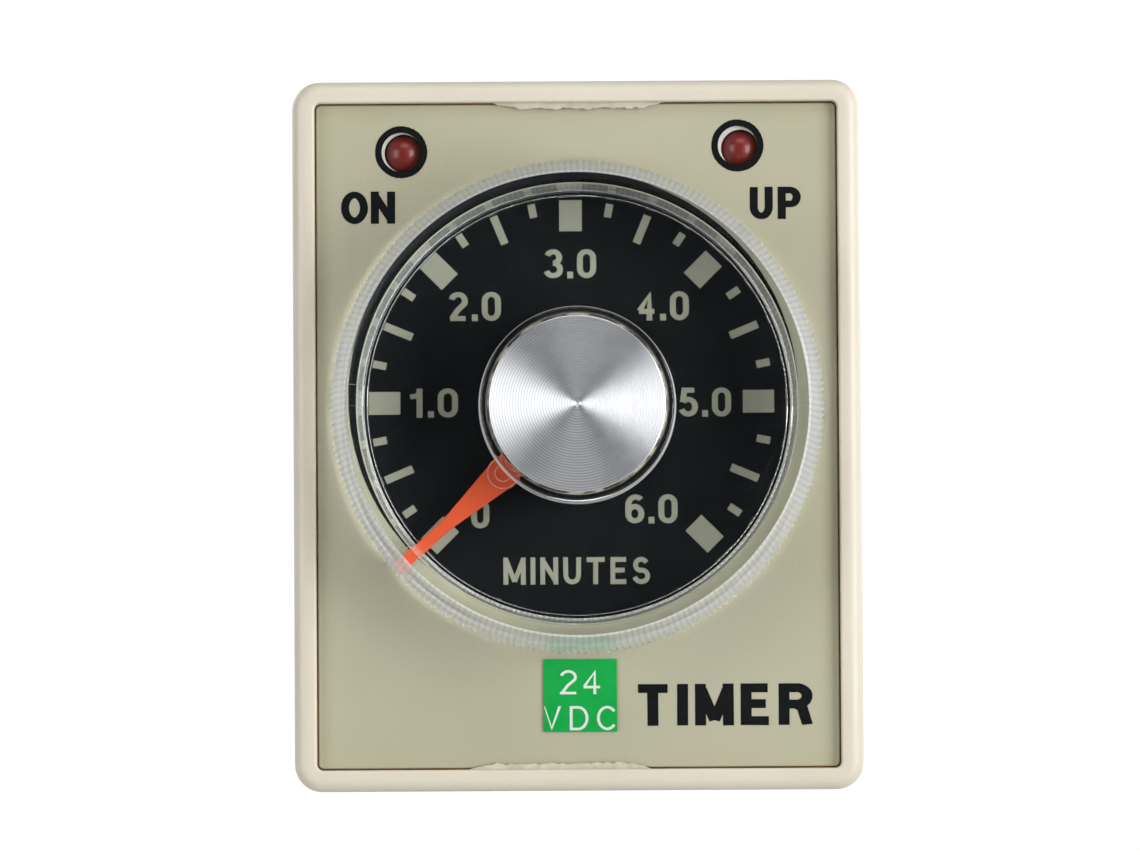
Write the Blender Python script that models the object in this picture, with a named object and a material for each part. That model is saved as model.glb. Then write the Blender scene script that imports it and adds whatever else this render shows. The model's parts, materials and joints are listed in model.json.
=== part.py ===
"""A plug-in analogue timer relay: a square-fronted case with a large dial knob and an octal plug.

The model's origin is the centre of the plug's seat face. +Y points out along the plug, so the dial
faces -Y, and +Z is up. Lengths are written in millimetres and become metres in add().
"""

import math

import bmesh
import bpy
from mathutils import Matrix

MM = 0.001

# ---------------------------------------------------------------- driving dimensions, in mm
# Clearances
REST_GAP = 0.3  # between hidden pieces that rest on each other
FIT_GAP = 0.15  # between pieces that slide together
PLATE_GAP = 0.1  # round the face plate, inside the rim

# Case
CASE_WIDTH = 40.0
CASE_HEIGHT = 50.0
CASE_DEPTH = 61.0  # from the rim's front to the seat face
CASE_CORNER = 1.9
FLANGE_DEPTH = 6.0
FLANGE_STEP = 1.8  # how far the flange stands out past the body
BODY_CORNER = 1.6
WALL = 1.4
FRONT_WALL = 2.0
RIM_WIDTH = 1.7
RIM_EDGE = 0.9
SNAP_LIPS = {"top": (-6.3, 3.9), "bottom": (-7.9, 5.1)}  # where each lip starts and ends in x
SNAP_LIP_REACH = 0.5
SNAP_LIP_THICKNESS = 0.35

# Face plate and the green rating label
PLATE_THICKNESS = 1.2
PLATE_RECESS = 0.8
PLATE_CORNER = 0.8
SHAFT_HOLE_RADIUS = 4.0
FRONT_WALL_HOLE_RADIUS = 5.2
LABEL_THICKNESS = 0.1
LABEL_GAP = 0.05
VOLTAGE_LABEL_SIZE = (5.15, 5.1)
VOLTAGE_LABEL_X = 0.1
VOLTAGE_LABEL_RISE = 4.9  # from the plate's lower edge to the label's centre
WIRING_LABEL_SIZE = (32.0, 28.0)
WIRING_LABEL_FROM_FLANGE = 6.0

# Dial knob: sizes along the axis are depths behind the rim's front plane
DIAL_RISE = 2.0
KNOB_SIDE_MARGIN = 0.85  # from the knob's widest ring to the plate's edge
KNOB_BASE_DEPTH = 0.45
KNOB_FRONT_DEPTH = -5.85
KNOB_DRAFT = 0.95  # how much narrower the grip is at its front
KNOB_SHOULDER = 0.85
KNOB_EDGE = 0.25
KNOB_RIM = 1.0
KNOB_DISH_DRAFT = 0.4
SKIRT_WALL = 1.5
WINDOW_DEPTH = -2.25
WINDOW_THICKNESS = 1.2
COLLAR_RADIUS = 6.8
COLLAR_WALL = 0.55
COLLAR_DEPTH = -5.45
CAP_THICKNESS = 0.6
CAP_FRONT_DEPTH = -5.75
CAP_EDGE = 0.18
HUB_RADIUS = 4.6
BORE_END_WALL = 0.9
NOTCH_WIDTH = 1.5
NOTCH_CUT = 1.1
STAKE_RADIUS = 0.5

# Pointer, which lies behind the knob's window
POINTER_REST_ANGLE = 222.0  # anticlockwise from +X, seen from the front
POINTER_THICKNESS = 0.5
POINTER_BOSS_AT = 7.03
POINTER_BOSS_RADIUS = 1.16
POINTER_TAIL_WIDTH = 2.1
POINTER_TAPER_END = 12.4
POINTER_TIP_WIDTH = 0.8
POINTER_SIDE_GAP = 0.25
POINTER_INTO_SKIRT = 0.6

# Potentiometer behind the dial
SHAFT_RADIUS = 3.0
SHAFT_FLAT = 1.5  # from the axis to the flat
SHAFT_FLAT_END = 3.0
SHAFT_STUB_RADIUS = 1.5
SHAFT_STUB_LENGTH = 1.9
BUSHING_RADIUS = 4.5
POT_RADIUS = 8.2
POT_DEPTH = 7.65
POT_WALL = 0.7
POT_FLANGE = 1.0
WAFER_THICKNESS = 1.2
WAFER_TONGUES_WIDTH = 8.8
WAFER_TONGUES_REACH = 11.0
WIPER_THICKNESS = 1.0
WIPER_HUB_RADIUS = 3.6
WIPER_REACH = 6.2
WIPER_WIDTH = 1.6
NUT_ACROSS_FLATS = 12.0
NUT_THICKNESS = 1.9
WASHER_RADIUS = 6.6
WASHER_THICKNESS = 0.5

# Circuit boards
BOARD_THICKNESS = 1.6
FRONT_BOARD_DEPTH = 7.3
POT_TO_MAIN_BOARD = 2.5
MAIN_BOARD_TO_WALL = 2.8
TAB_WIDTH = 6.0
TAB_FROM_EDGE = 7.0
LEAD_RADIUS = 0.3
LEAD_HOLE_RADIUS = 0.5
LEAD_TAIL = 0.8  # how far a lead stands out past its board

# Lamps: a name, the distance from the case's side and from its top, and the side it is on
LAMPS = (("led_on", 8.0, 5.25, -1), ("led_up", 8.4, 5.0, 1))
LAMP_RADIUS = 1.45
LAMP_FLANGE_RADIUS = 1.7
LAMP_FLANGE = 0.8
LAMP_LENGTH = 4.9
LAMP_NOSE = 0.5  # how far the nose reaches into the face plate
LAMP_PLATE_HOLE_RADIUS = 1.25
LAMP_LEAD_PITCH = 2.0

# Parts on the front board
IC_SIZE = (19.3, 3.3, 6.4)
IC_STANDOFF = 0.4
IC_PINS_A_SIDE = 8
IC_PIN_PITCH = 2.54
IC_FROM_BOTTOM = 6.8
TRIMMER_SIZE = 6.6
TRIMMER_DEPTH = 4.4
TRIMMER_ROTOR_RADIUS = 2.1
TRIMMER_ROTOR_DEPTH = 1.0
TRIMMER_FROM_SIDE = 5.5
TRIMMER_FROM_TOP = 6.5

# Octal base and pins
BASE_THICKNESS = 5.0
BASE_CORNER = 1.0
BASE_TAB_AT = 12.0
BASE_TAB_WIDTH = 4.6
BASE_TAB_REACH = 1.25
BASE_TAB_LENGTH = 1.8
BASE_TAB_FROM_SEAT = 1.8
PIN_COUNT = 8
PIN_CIRCLE_RADIUS = 8.725
PIN_RADIUS = 1.18
PIN_LENGTH = 11.0
PIN_FLANGE_RADIUS = 1.8
PIN_FLANGE = 0.8
PIN_TAIL_RADIUS = 0.6
PIN_FIT = 0.1
SPIGOT_RADIUS = 3.93
SPIGOT_LENGTH = 14.0
SPIGOT_CHAMFER = 0.9
KEY_WIDTH = 2.2
KEY_REACH = 5.2  # from the axis to the key's outer face
KEY_LENGTH = 12.5
BASE_TO_BOARD = 0.9

# Relay on the main board, measured in its own frame: x along the case, z up from the board
RELAY_LENGTH = 24.0
RELAY_WIDTH = 12.7
RELAY_HEIGHT = 15.7
RELAY_BASE = 1.8
RELAY_COVER_WALL = 0.5
COIL_AT = 8.0
CORE_RADIUS = 1.8
CORE_HEAD_RADIUS = 2.8
CORE_HEAD = 0.7
CORE_STUB_RADIUS = 1.2
BOBBIN_RADIUS = 5.3
BOBBIN_FLANGE = 0.8
BOBBIN_BARREL = 0.65
BOBBIN_HEIGHT = 8.3
WINDING_RADIUS = 4.9
YOKE_THICKNESS = 1.0
YOKE_WIDTH = 9.0
YOKE_START = 3.0
YOKE_WALL_AT = 14.2
ARMATURE_GAP = 0.7  # from the core's head to the armature at rest
ARMATURE_THICKNESS = 0.9
ARMATURE_WIDTH = 8.4
ARMATURE_START = 4.2
ARMATURE_LEG_GAP = 0.6
ARMATURE_LEG = 4.7
SPRING_THICKNESS = 0.2
SPRING_WIDTH = 4.0
BLOCK_THICKNESS = 0.7
BLOCK_WIDTH = 10.4
BLOCK_LOW = 8.4
BLOCK_HIGH = 12.6
BLADE_THICKNESS = 0.2
BLADE_WIDTH = 2.6
BLADE_LOW = 4.0
BLADE_HIGH = 12.0
CONTACT_SPREAD = 3.2  # from the relay's middle to each pole
CONTACT_HEIGHT = 5.0
CONTACT_RADIUS = 0.9
CONTACT_BUTTON = 0.4  # how far a moving button stands out of its blade
CONTACT_TRAVEL = 0.65  # from the moving button to the normally open one
FIXED_BUTTON = 0.6
FIXED_THICKNESS = 0.4
FIXED_WIDTH = 1.6
FIXED_TOP = 6.2

# Parts on the main board: distances are from the relay's front end and from the board's middle
LOWER_ROW = -10.8
UPPER_ROW = 12.5
SMOOTHING_CAPACITOR = {"radius": 4.0, "height": 12.0, "along": 4.5, "lead_pitch": 3.5}
TIMING_CAPACITOR = {"size": (11.0, 5.0, 9.0), "along": 17.0, "lead_pitch": 7.5}
FILM_CAPACITOR = {"size": (7.0, 3.5, 7.0), "along": 19.5, "lead_pitch": 5.0}
TRANSISTOR = {"radius": 2.3, "flat": 1.1, "height": 4.6, "along": 3.5, "lead_pitch": 1.27}
TRANSISTOR_STANDOFF = 2.0
DIODE = {"radius": 1.35, "length": 5.0, "along": 10.5, "lead_pitch": 7.6}
RESISTOR = {"radius": 1.8, "length": 6.6, "along": -5.0, "lead_pitch": 9.6}
AXIAL_STANDOFF = 0.6

# How round each kind of piece is
KNOB_STEPS = 80
ROUND_STEPS = 24
SMALL_STEPS = 14
WIRE_STEPS = 8
CORNER_STEPS = 4
SHARP_ANGLE = math.radians(35)

# ---------------------------------------------------------------- sizes that follow from them
BODY_WIDTH = CASE_WIDTH - 2 * FLANGE_STEP
BODY_HEIGHT = CASE_HEIGHT - 2 * FLANGE_STEP
CAVITY_WIDTH = BODY_WIDTH - 2 * WALL
CAVITY_HEIGHT = BODY_HEIGHT - 2 * WALL
OPENING_WIDTH = CASE_WIDTH - 2 * RIM_WIDTH
OPENING_HEIGHT = CASE_HEIGHT - 2 * RIM_WIDTH
PLATE_WIDTH = OPENING_WIDTH - 2 * PLATE_GAP
PLATE_HEIGHT = OPENING_HEIGHT - 2 * PLATE_GAP
PLATE_BACK = PLATE_RECESS + PLATE_THICKNESS
WALL_FRONT = PLATE_BACK + PLATE_GAP
WALL_BACK = WALL_FRONT + FRONT_WALL
BOARD_WIDTH = CAVITY_WIDTH - 2 * REST_GAP
BOARD_HEIGHT = CAVITY_HEIGHT - 2 * REST_GAP

KNOB_RADIUS = min(PLATE_WIDTH / 2, PLATE_HEIGHT / 2 - DIAL_RISE) - KNOB_SIDE_MARGIN
SHOULDER_RADIUS = KNOB_RADIUS - KNOB_DRAFT
DISH_RADIUS = SHOULDER_RADIUS - KNOB_EDGE - KNOB_RIM
WINDOW_RADIUS = DISH_RADIUS - KNOB_DISH_DRAFT
WINDOW_BACK = WINDOW_DEPTH + WINDOW_THICKNESS
SKIRT_INNER_RADIUS = KNOB_RADIUS - SKIRT_WALL
CAP_RADIUS = COLLAR_RADIUS - COLLAR_WALL - PLATE_GAP
CAP_SEAT_DEPTH = CAP_FRONT_DEPTH + CAP_THICKNESS + PLATE_GAP
SHAFT_FRONT = CAP_SEAT_DEPTH + BORE_END_WALL + FIT_GAP
POINTER_FRONT = WINDOW_BACK + PLATE_GAP
POINTER_TIP = SKIRT_INNER_RADIUS + POINTER_INTO_SKIRT

FRONT_BOARD_BACK = FRONT_BOARD_DEPTH + BOARD_THICKNESS
POT_FLANGE_FRONT = FRONT_BOARD_BACK + REST_GAP
POT_FLANGE_BACK = POT_FLANGE_FRONT + POT_FLANGE
POT_FRONT = POT_FLANGE_BACK + FIT_GAP
POT_BACK = POT_FRONT + POT_DEPTH
WAFER_BACK = POT_BACK - POT_WALL - REST_GAP
WAFER_FRONT = WAFER_BACK - WAFER_THICKNESS
SHAFT_SHOULDER = WAFER_FRONT - REST_GAP - SHAFT_STUB_LENGTH - FIT_GAP
WIPER_FRONT = SHAFT_SHOULDER + FIT_GAP
WASHER_BACK = FRONT_BOARD_DEPTH - REST_GAP
NUT_BACK = WASHER_BACK - WASHER_THICKNESS - REST_GAP
BUSHING_FRONT = NUT_BACK - NUT_THICKNESS - PLATE_GAP

REAR_BOARD_BACK = CASE_DEPTH - BASE_THICKNESS - BASE_TO_BOARD
REAR_BOARD_FRONT = REAR_BOARD_BACK - BOARD_THICKNESS
MAIN_BOARD_FRONT = FRONT_BOARD_BACK + REST_GAP
MAIN_BOARD_BACK = REAR_BOARD_FRONT - REST_GAP
MAIN_BOARD_FACE = -(POT_RADIUS + POT_TO_MAIN_BOARD)
MAIN_BOARD_HALF = CAVITY_HEIGHT / 2 - MAIN_BOARD_TO_WALL
TAB_AT = MAIN_BOARD_HALF - TAB_FROM_EDGE
TAB_REACH = REST_GAP + BOARD_THICKNESS + FIT_GAP
RELAY_FRONT = (POT_BACK + MAIN_BOARD_BACK - RELAY_LENGTH) / 2

YOKE_BOTTOM = RELAY_BASE + REST_GAP
YOKE_FLOOR = YOKE_BOTTOM + YOKE_THICKNESS
BOBBIN_LOW = YOKE_FLOOR + REST_GAP
BOBBIN_TOP = BOBBIN_LOW + BOBBIN_HEIGHT
CORE_TOP = BOBBIN_TOP + REST_GAP + CORE_HEAD
ARMATURE_LOW = CORE_TOP + ARMATURE_GAP
YOKE_TOP = ARMATURE_LOW - REST_GAP
YOKE_WALL_BACK = YOKE_WALL_AT + YOKE_THICKNESS
LEG_FRONT = YOKE_WALL_BACK + ARMATURE_LEG_GAP
LEG_BACK = LEG_FRONT + ARMATURE_THICKNESS
BLOCK_FRONT = LEG_BACK + REST_GAP
BLADE_FRONT = BLOCK_FRONT + BLOCK_THICKNESS + FIT_GAP
BLADE_BACK = BLADE_FRONT + BLADE_THICKNESS
NC_FACE = BLADE_FRONT - CONTACT_BUTTON - FIT_GAP
NO_FACE = BLADE_BACK + CONTACT_BUTTON + CONTACT_TRAVEL

# Colour, roughness and metallic value of each finish
FINISHES = {
    "ivory_plastic": ((0.86, 0.80, 0.69), 0.42, 0.0),
    "plate_beige": ((0.47, 0.46, 0.35), 0.55, 0.0),
    "clear_plastic": ((0.80, 0.80, 0.76), 0.12, 0.0),
    "pointer_red": ((0.75, 0.07, 0.02), 0.40, 0.0),
    "spun_aluminium": ((0.80, 0.81, 0.83), 0.28, 1.0),
    "label_green": ((0.01, 0.38, 0.06), 0.50, 0.0),
    "label_white": ((0.78, 0.78, 0.74), 0.55, 0.0),
    "black_plastic": ((0.02, 0.02, 0.022), 0.50, 0.0),
    "brass": ((0.72, 0.55, 0.27), 0.30, 1.0),
    "nickel": ((0.66, 0.64, 0.60), 0.28, 1.0),
    "steel": ((0.52, 0.53, 0.55), 0.35, 1.0),
    "copper": ((0.60, 0.22, 0.10), 0.35, 1.0),
    "lamp_red": ((0.35, 0.01, 0.01), 0.15, 0.0),
    "board_green": ((0.03, 0.16, 0.06), 0.45, 0.0),
    "wafer_brown": ((0.20, 0.11, 0.05), 0.60, 0.0),
    "white_plastic": ((0.75, 0.75, 0.72), 0.50, 0.0),
    "blue_plastic": ((0.03, 0.12, 0.42), 0.45, 0.0),
    "smoke_plastic": ((0.22, 0.24, 0.26), 0.15, 0.0),
    "sleeve_blue": ((0.02, 0.05, 0.20), 0.35, 0.0),
    "film_yellow": ((0.62, 0.40, 0.06), 0.45, 0.0),
    "resistor_body": ((0.52, 0.40, 0.26), 0.60, 0.0),
}


# ---------------------------------------------------------------- scene and shape helpers
def clear_scene():
    for leftover in list(bpy.data.objects):
        bpy.data.objects.remove(leftover)


def own_material(piece, finish):
    colour, roughness, metallic = FINISHES[finish]
    material = bpy.data.materials.new(piece.name)
    material.use_nodes = True
    shader = material.node_tree.nodes["Principled BSDF"]
    shader.inputs["Base Color"].default_value = (*colour, 1.0)
    shader.inputs["Roughness"].default_value = roughness
    shader.inputs["Metallic"].default_value = metallic
    piece.data.materials.append(material)


def add(name, shape, finish, parent, at=(0.0, 0.0, 0.0)):
    """Turns a bmesh in millimetres into an object placed in its parent's frame."""
    bmesh.ops.scale(shape, vec=(MM, MM, MM), verts=shape.verts)
    mesh = bpy.data.meshes.new(name)
    shape.to_mesh(mesh)
    shape.free()
    mesh.shade_smooth()
    mesh.set_sharp_from_angle(angle=SHARP_ANGLE)
    piece = bpy.data.objects.new(name, mesh)
    piece.location = [MM * c for c in at]
    piece.parent = parent
    bpy.context.scene.collection.objects.link(piece)
    if finish:
        own_material(piece, finish)
    return piece


def frame(name, parent, at=(0.0, 0.0, 0.0), turn=(0.0, 0.0, 0.0)):
    """An empty that other pieces are placed from."""
    empty = bpy.data.objects.new(name, None)
    empty.location = [MM * c for c in at]
    empty.rotation_euler = turn
    empty.parent = parent
    bpy.context.scene.collection.objects.link(empty)
    return empty


def boolean(piece, shape, operation):
    """Cuts or joins a shape given in the frame of the piece's parent."""
    name = f"{piece.name}_{operation.lower()}_{len(piece.modifiers) + 1}"
    tool = add(name, shape, None, piece.parent)
    tool.hide_render = True
    tool.display_type = "WIRE"
    modifier = piece.modifiers.new(name, "BOOLEAN")
    modifier.operation = operation
    modifier.object = tool


def cut(piece, *shapes):
    boolean(piece, together(*shapes), "DIFFERENCE")


def join(piece, *shapes):
    boolean(piece, together(*shapes), "UNION")


def together(*shapes):
    """One bmesh that holds several separate bodies."""
    whole = bmesh.new()
    for shape in shapes:
        mesh = bpy.data.meshes.new("loose")
        shape.to_mesh(mesh)
        shape.free()
        whole.from_mesh(mesh)
        bpy.data.meshes.remove(mesh)
    return whole


def moved(shape, x=0.0, y=0.0, z=0.0):
    bmesh.ops.translate(shape, vec=(x, y, z), verts=shape.verts)
    return shape


def turned_about(shape, axis, degrees):
    turn = Matrix.Rotation(math.radians(degrees), 3, axis)
    bmesh.ops.rotate(shape, cent=(0, 0, 0), matrix=turn, verts=shape.verts)
    return shape


def on_axis(axis, p, q, s):
    """A point s along an axis, and p and q across it."""
    if axis == "X":
        return (s, p, q)
    if axis == "Y":
        return (p, s, q)
    return (p, q, s)


def block(low, high):
    shape = bmesh.new()
    bmesh.ops.create_cube(shape, size=1.0)
    size = [b - a for a, b in zip(low, high)]
    middle = [(a + b) / 2 for a, b in zip(low, high)]
    bmesh.ops.scale(shape, vec=size, verts=shape.verts)
    return moved(shape, *middle)


def circle(radius, steps, centre=(0.0, 0.0)):
    turns = [2 * math.pi * step / steps for step in range(steps)]
    return [(centre[0] + radius * math.cos(a), centre[1] + radius * math.sin(a)) for a in turns]


def arc(radius, start, end, steps, centre=(0.0, 0.0)):
    """Points along an arc, its angles in degrees, ends included."""
    angles = [math.radians(start + (end - start) * step / steps) for step in range(steps + 1)]
    return [(centre[0] + radius * math.cos(a), centre[1] + radius * math.sin(a)) for a in angles]


def rectangle(width, height, corner=0.0):
    if corner <= 0:
        half = (width / 2, height / 2)
        return [(half[0], half[1]), (-half[0], half[1]), (-half[0], -half[1]), (half[0], -half[1])]
    points = []
    for quarter, (right, up) in enumerate(((1, 1), (-1, 1), (-1, -1), (1, -1))):
        centre = (right * (width / 2 - corner), up * (height / 2 - corner))
        points += arc(corner, 90 * quarter, 90 * quarter + 90, CORNER_STEPS, centre)
    return points


def flatted_circle(radius, flat, steps):
    """A circle cut off by a flat at +q, as on a shaft that takes a knob."""
    edge = math.degrees(math.asin(flat / radius))
    return arc(radius, 180 - edge, 360 + edge, steps)


def lofted(layers, axis="Y"):
    """A closed body through outlines with the same number of points, each at its own place."""
    shape = bmesh.new()
    rings = [[shape.verts.new(on_axis(axis, p, q, s)) for p, q in points] for points, s in layers]
    shape.faces.new(rings[0])
    shape.faces.new(rings[-1])
    for ring, following in zip(rings, rings[1:]):
        for i in range(len(ring)):
            j = (i + 1) % len(ring)
            shape.faces.new((ring[i], ring[j], following[j], following[i]))
    bmesh.ops.recalc_face_normals(shape, faces=shape.faces)
    return shape


def prism(outline, low, high, axis="Y"):
    return lofted([(outline, low), (outline, high)], axis)


def rod(radius, low, high, steps=ROUND_STEPS, axis="Y", centre=(0.0, 0.0)):
    return prism(circle(radius, steps, centre), low, high, axis)


def turned(profile, steps=ROUND_STEPS, axis="Y"):
    """A profile of (radius, place on the axis) turned about the axis.

    A profile that starts and ends on the axis makes a solid, and any other is closed into a ring.
    """
    shape = bmesh.new()
    turns = [2 * math.pi * step / steps for step in range(steps)]
    rings = []
    for radius, place in profile:
        around = turns if radius > 0 else [0.0]
        corners = [on_axis(axis, radius * math.cos(a), radius * math.sin(a), place) for a in around]
        rings.append([shape.verts.new(corner) for corner in corners])
    following = rings[1:] if profile[0][0] == 0 else rings[1:] + rings[:1]
    for ring, after in zip(rings, following):
        for i in range(steps):
            j = (i + 1) % steps
            corners = (ring[i % len(ring)], ring[j % len(ring)])
            corners += (after[j % len(after)], after[i % len(after)])
            shape.faces.new(list(dict.fromkeys(corners)))
    bmesh.ops.recalc_face_normals(shape, faces=shape.faces)
    return shape


def mirrored(value):
    return (-value, value)


# ---------------------------------------------------------------- case, plate and labels
def lamp_places():
    """Each lamp's name and centre on the front."""
    for name, from_side, from_top, side in LAMPS:
        yield name, side * (CASE_WIDTH / 2 - from_side), CASE_HEIGHT / 2 - from_top


def make_housing(front):
    opening = rectangle(OPENING_WIDTH, OPENING_HEIGHT, PLATE_CORNER + PLATE_GAP)
    layers = [(opening, WALL_FRONT), (opening, 0.0)]
    for angle in (0, 30, 60, 90):
        inset = RIM_EDGE * (1 - math.sin(math.radians(angle)))
        depth = RIM_EDGE * (1 - math.cos(math.radians(angle)))
        width, height = CASE_WIDTH - 2 * inset, CASE_HEIGHT - 2 * inset
        layers.append((rectangle(width, height, CASE_CORNER - inset), depth))
    layers.append((rectangle(CASE_WIDTH, CASE_HEIGHT, CASE_CORNER), FLANGE_DEPTH))
    layers.append((rectangle(BODY_WIDTH, BODY_HEIGHT, BODY_CORNER), FLANGE_DEPTH))
    layers.append((rectangle(BODY_WIDTH, BODY_HEIGHT, BODY_CORNER), CASE_DEPTH))
    cavity = rectangle(CAVITY_WIDTH, CAVITY_HEIGHT, BASE_CORNER)
    layers.append((cavity, CASE_DEPTH))
    layers.append((cavity, WALL_BACK))
    housing = add("housing", lofted(layers), "ivory_plastic", front)

    low, high = WALL_FRONT - 1, WALL_BACK + 1
    holes = [rod(FRONT_WALL_HOLE_RADIUS, low, high, centre=(0.0, DIAL_RISE))]
    for _, x, z in lamp_places():
        holes.append(rod(LAMP_RADIUS + FIT_GAP, low, high, SMALL_STEPS, centre=(x, z)))
    cut(housing, *holes)

    tab_back = CASE_DEPTH - BASE_TAB_FROM_SEAT + REST_GAP
    tab_front = CASE_DEPTH - BASE_TAB_FROM_SEAT - BASE_TAB_LENGTH - REST_GAP
    half = BASE_TAB_WIDTH / 2 + REST_GAP
    windows = []
    for z in mirrored(BASE_TAB_AT):
        windows.append(block((-BODY_WIDTH, tab_front, z - half), (BODY_WIDTH, tab_back, z + half)))
    cut(housing, *windows)

    lips = []
    for edge, (start, end) in SNAP_LIPS.items():
        up = 1 if edge == "top" else -1
        heights = sorted((up * (OPENING_HEIGHT / 2 - SNAP_LIP_REACH), up * (OPENING_HEIGHT / 2 + 0.4)))
        lip_back = PLATE_RECESS - PLATE_GAP
        low = (start, lip_back - SNAP_LIP_THICKNESS, heights[0])
        lips.append(block(low, (end, lip_back, heights[1])))
    join(housing, *lips)


def make_face_plate(front):
    outline = rectangle(PLATE_WIDTH, PLATE_HEIGHT, PLATE_CORNER)
    plate = add("face_plate", prism(outline, PLATE_RECESS, PLATE_BACK), "plate_beige", front)
    low, high = PLATE_RECESS - 1, PLATE_BACK + 1
    holes = [rod(SHAFT_HOLE_RADIUS, low, high, centre=(0.0, DIAL_RISE))]
    for _, x, z in lamp_places():
        holes.append(rod(LAMP_PLATE_HOLE_RADIUS, low, high, SMALL_STEPS, centre=(x, z)))
    cut(plate, *holes)


def make_labels(front):
    width, height = VOLTAGE_LABEL_SIZE
    label = prism(rectangle(width, height), 0.0, LABEL_THICKNESS)
    depth = PLATE_RECESS - LABEL_GAP - LABEL_THICKNESS
    place = (VOLTAGE_LABEL_X, depth, VOLTAGE_LABEL_RISE - PLATE_HEIGHT / 2)
    add("voltage_label", label, "label_green", front, place)

    length, height = WIRING_LABEL_SIZE
    label = prism(rectangle(length, height), 0.0, LABEL_THICKNESS, axis="X")
    place = (BODY_WIDTH / 2 + LABEL_GAP, FLANGE_DEPTH + WIRING_LABEL_FROM_FLANGE + length / 2, 0.0)
    add("wiring_label", label, "label_white", front, place)


# ---------------------------------------------------------------- dial knob, cap and pointer
def skirt_slot(width, degrees, depth_into_wall):
    """A slot in the inside of the knob's skirt, open at its back."""
    inner = WINDOW_RADIUS - 1
    outer = SKIRT_INNER_RADIUS + depth_into_wall
    slot = block((inner, WINDOW_BACK, -width / 2), (outer, KNOB_BASE_DEPTH + 1, width / 2))
    return turned_about(slot, "Y", degrees)


def make_knob(dial):
    edge_depth = KNOB_FRONT_DEPTH + KNOB_EDGE
    shoulder_depth = KNOB_FRONT_DEPTH + KNOB_SHOULDER
    cap_recess = CAP_RADIUS + PLATE_GAP
    profile = [(0.0, CAP_SEAT_DEPTH), (cap_recess, CAP_SEAT_DEPTH), (cap_recess, COLLAR_DEPTH)]
    profile += [(COLLAR_RADIUS, COLLAR_DEPTH), (COLLAR_RADIUS, WINDOW_DEPTH)]
    profile += [(WINDOW_RADIUS, WINDOW_DEPTH), (DISH_RADIUS, edge_depth)]
    profile += [(DISH_RADIUS + KNOB_EDGE, KNOB_FRONT_DEPTH)]
    profile += [(SHOULDER_RADIUS - KNOB_EDGE, KNOB_FRONT_DEPTH), (SHOULDER_RADIUS, edge_depth)]
    profile += [(SHOULDER_RADIUS, shoulder_depth), (KNOB_RADIUS, KNOB_BASE_DEPTH)]
    profile += [(SKIRT_INNER_RADIUS, KNOB_BASE_DEPTH), (WINDOW_RADIUS, WINDOW_BACK)]
    profile += [(HUB_RADIUS, WINDOW_BACK), (HUB_RADIUS, KNOB_BASE_DEPTH), (0.0, KNOB_BASE_DEPTH)]
    knob = add("knob", turned(profile, KNOB_STEPS), "clear_plastic", dial)

    bore = flatted_circle(SHAFT_RADIUS + FIT_GAP, SHAFT_FLAT + FIT_GAP, ROUND_STEPS)
    cuts = [prism(bore, SHAFT_FRONT - FIT_GAP, KNOB_BASE_DEPTH + 1)]
    for degrees in (45, 135, 225, 315):
        cuts.append(skirt_slot(NOTCH_WIDTH, degrees, NOTCH_CUT))
    tip_slot = POINTER_TIP_WIDTH + 2 * POINTER_SIDE_GAP
    cuts.append(skirt_slot(tip_slot, 0, POINTER_INTO_SKIRT + POINTER_SIDE_GAP))
    cut(knob, *cuts)

    stake_end = POINTER_FRONT + POINTER_THICKNESS
    stake_centre = (POINTER_BOSS_AT, 0.0)
    join(knob, rod(STAKE_RADIUS, WINDOW_DEPTH + 0.3, stake_end, SMALL_STEPS, centre=stake_centre))


def make_knob_cap(dial):
    back = CAP_FRONT_DEPTH + CAP_THICKNESS
    profile = [(0.0, CAP_FRONT_DEPTH), (CAP_RADIUS - CAP_EDGE, CAP_FRONT_DEPTH)]
    profile += [(CAP_RADIUS, CAP_FRONT_DEPTH + CAP_EDGE), (CAP_RADIUS, back), (0.0, back)]
    add("knob_cap", turned(profile, KNOB_STEPS // 2), "spun_aluminium", dial)


def make_pointer(dial):
    tail = POINTER_TAIL_WIDTH / 2
    tip = POINTER_TIP_WIDTH / 2
    bend = math.degrees(math.asin(tail / POINTER_BOSS_RADIUS))
    boss = (POINTER_BOSS_AT, 0.0)
    outline = [(HUB_RADIUS + REST_GAP, -tail)]
    outline += arc(POINTER_BOSS_RADIUS, bend - 180, -bend, 4, boss)
    outline += [(POINTER_TAPER_END, -tip), (POINTER_TIP, -tip), (POINTER_TIP, tip)]
    outline += [(POINTER_TAPER_END, tip)]
    outline += arc(POINTER_BOSS_RADIUS, bend, 180 - bend, 4, boss)
    outline += [(HUB_RADIUS + REST_GAP, tail)]
    shape = prism(outline, POINTER_FRONT, POINTER_FRONT + POINTER_THICKNESS)
    pointer = add("pointer", shape, "pointer_red", dial)
    low, high = POINTER_FRONT - 1, POINTER_FRONT + POINTER_THICKNESS + 1
    cut(pointer, rod(STAKE_RADIUS + PLATE_GAP, low, high, SMALL_STEPS, centre=boss))


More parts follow.
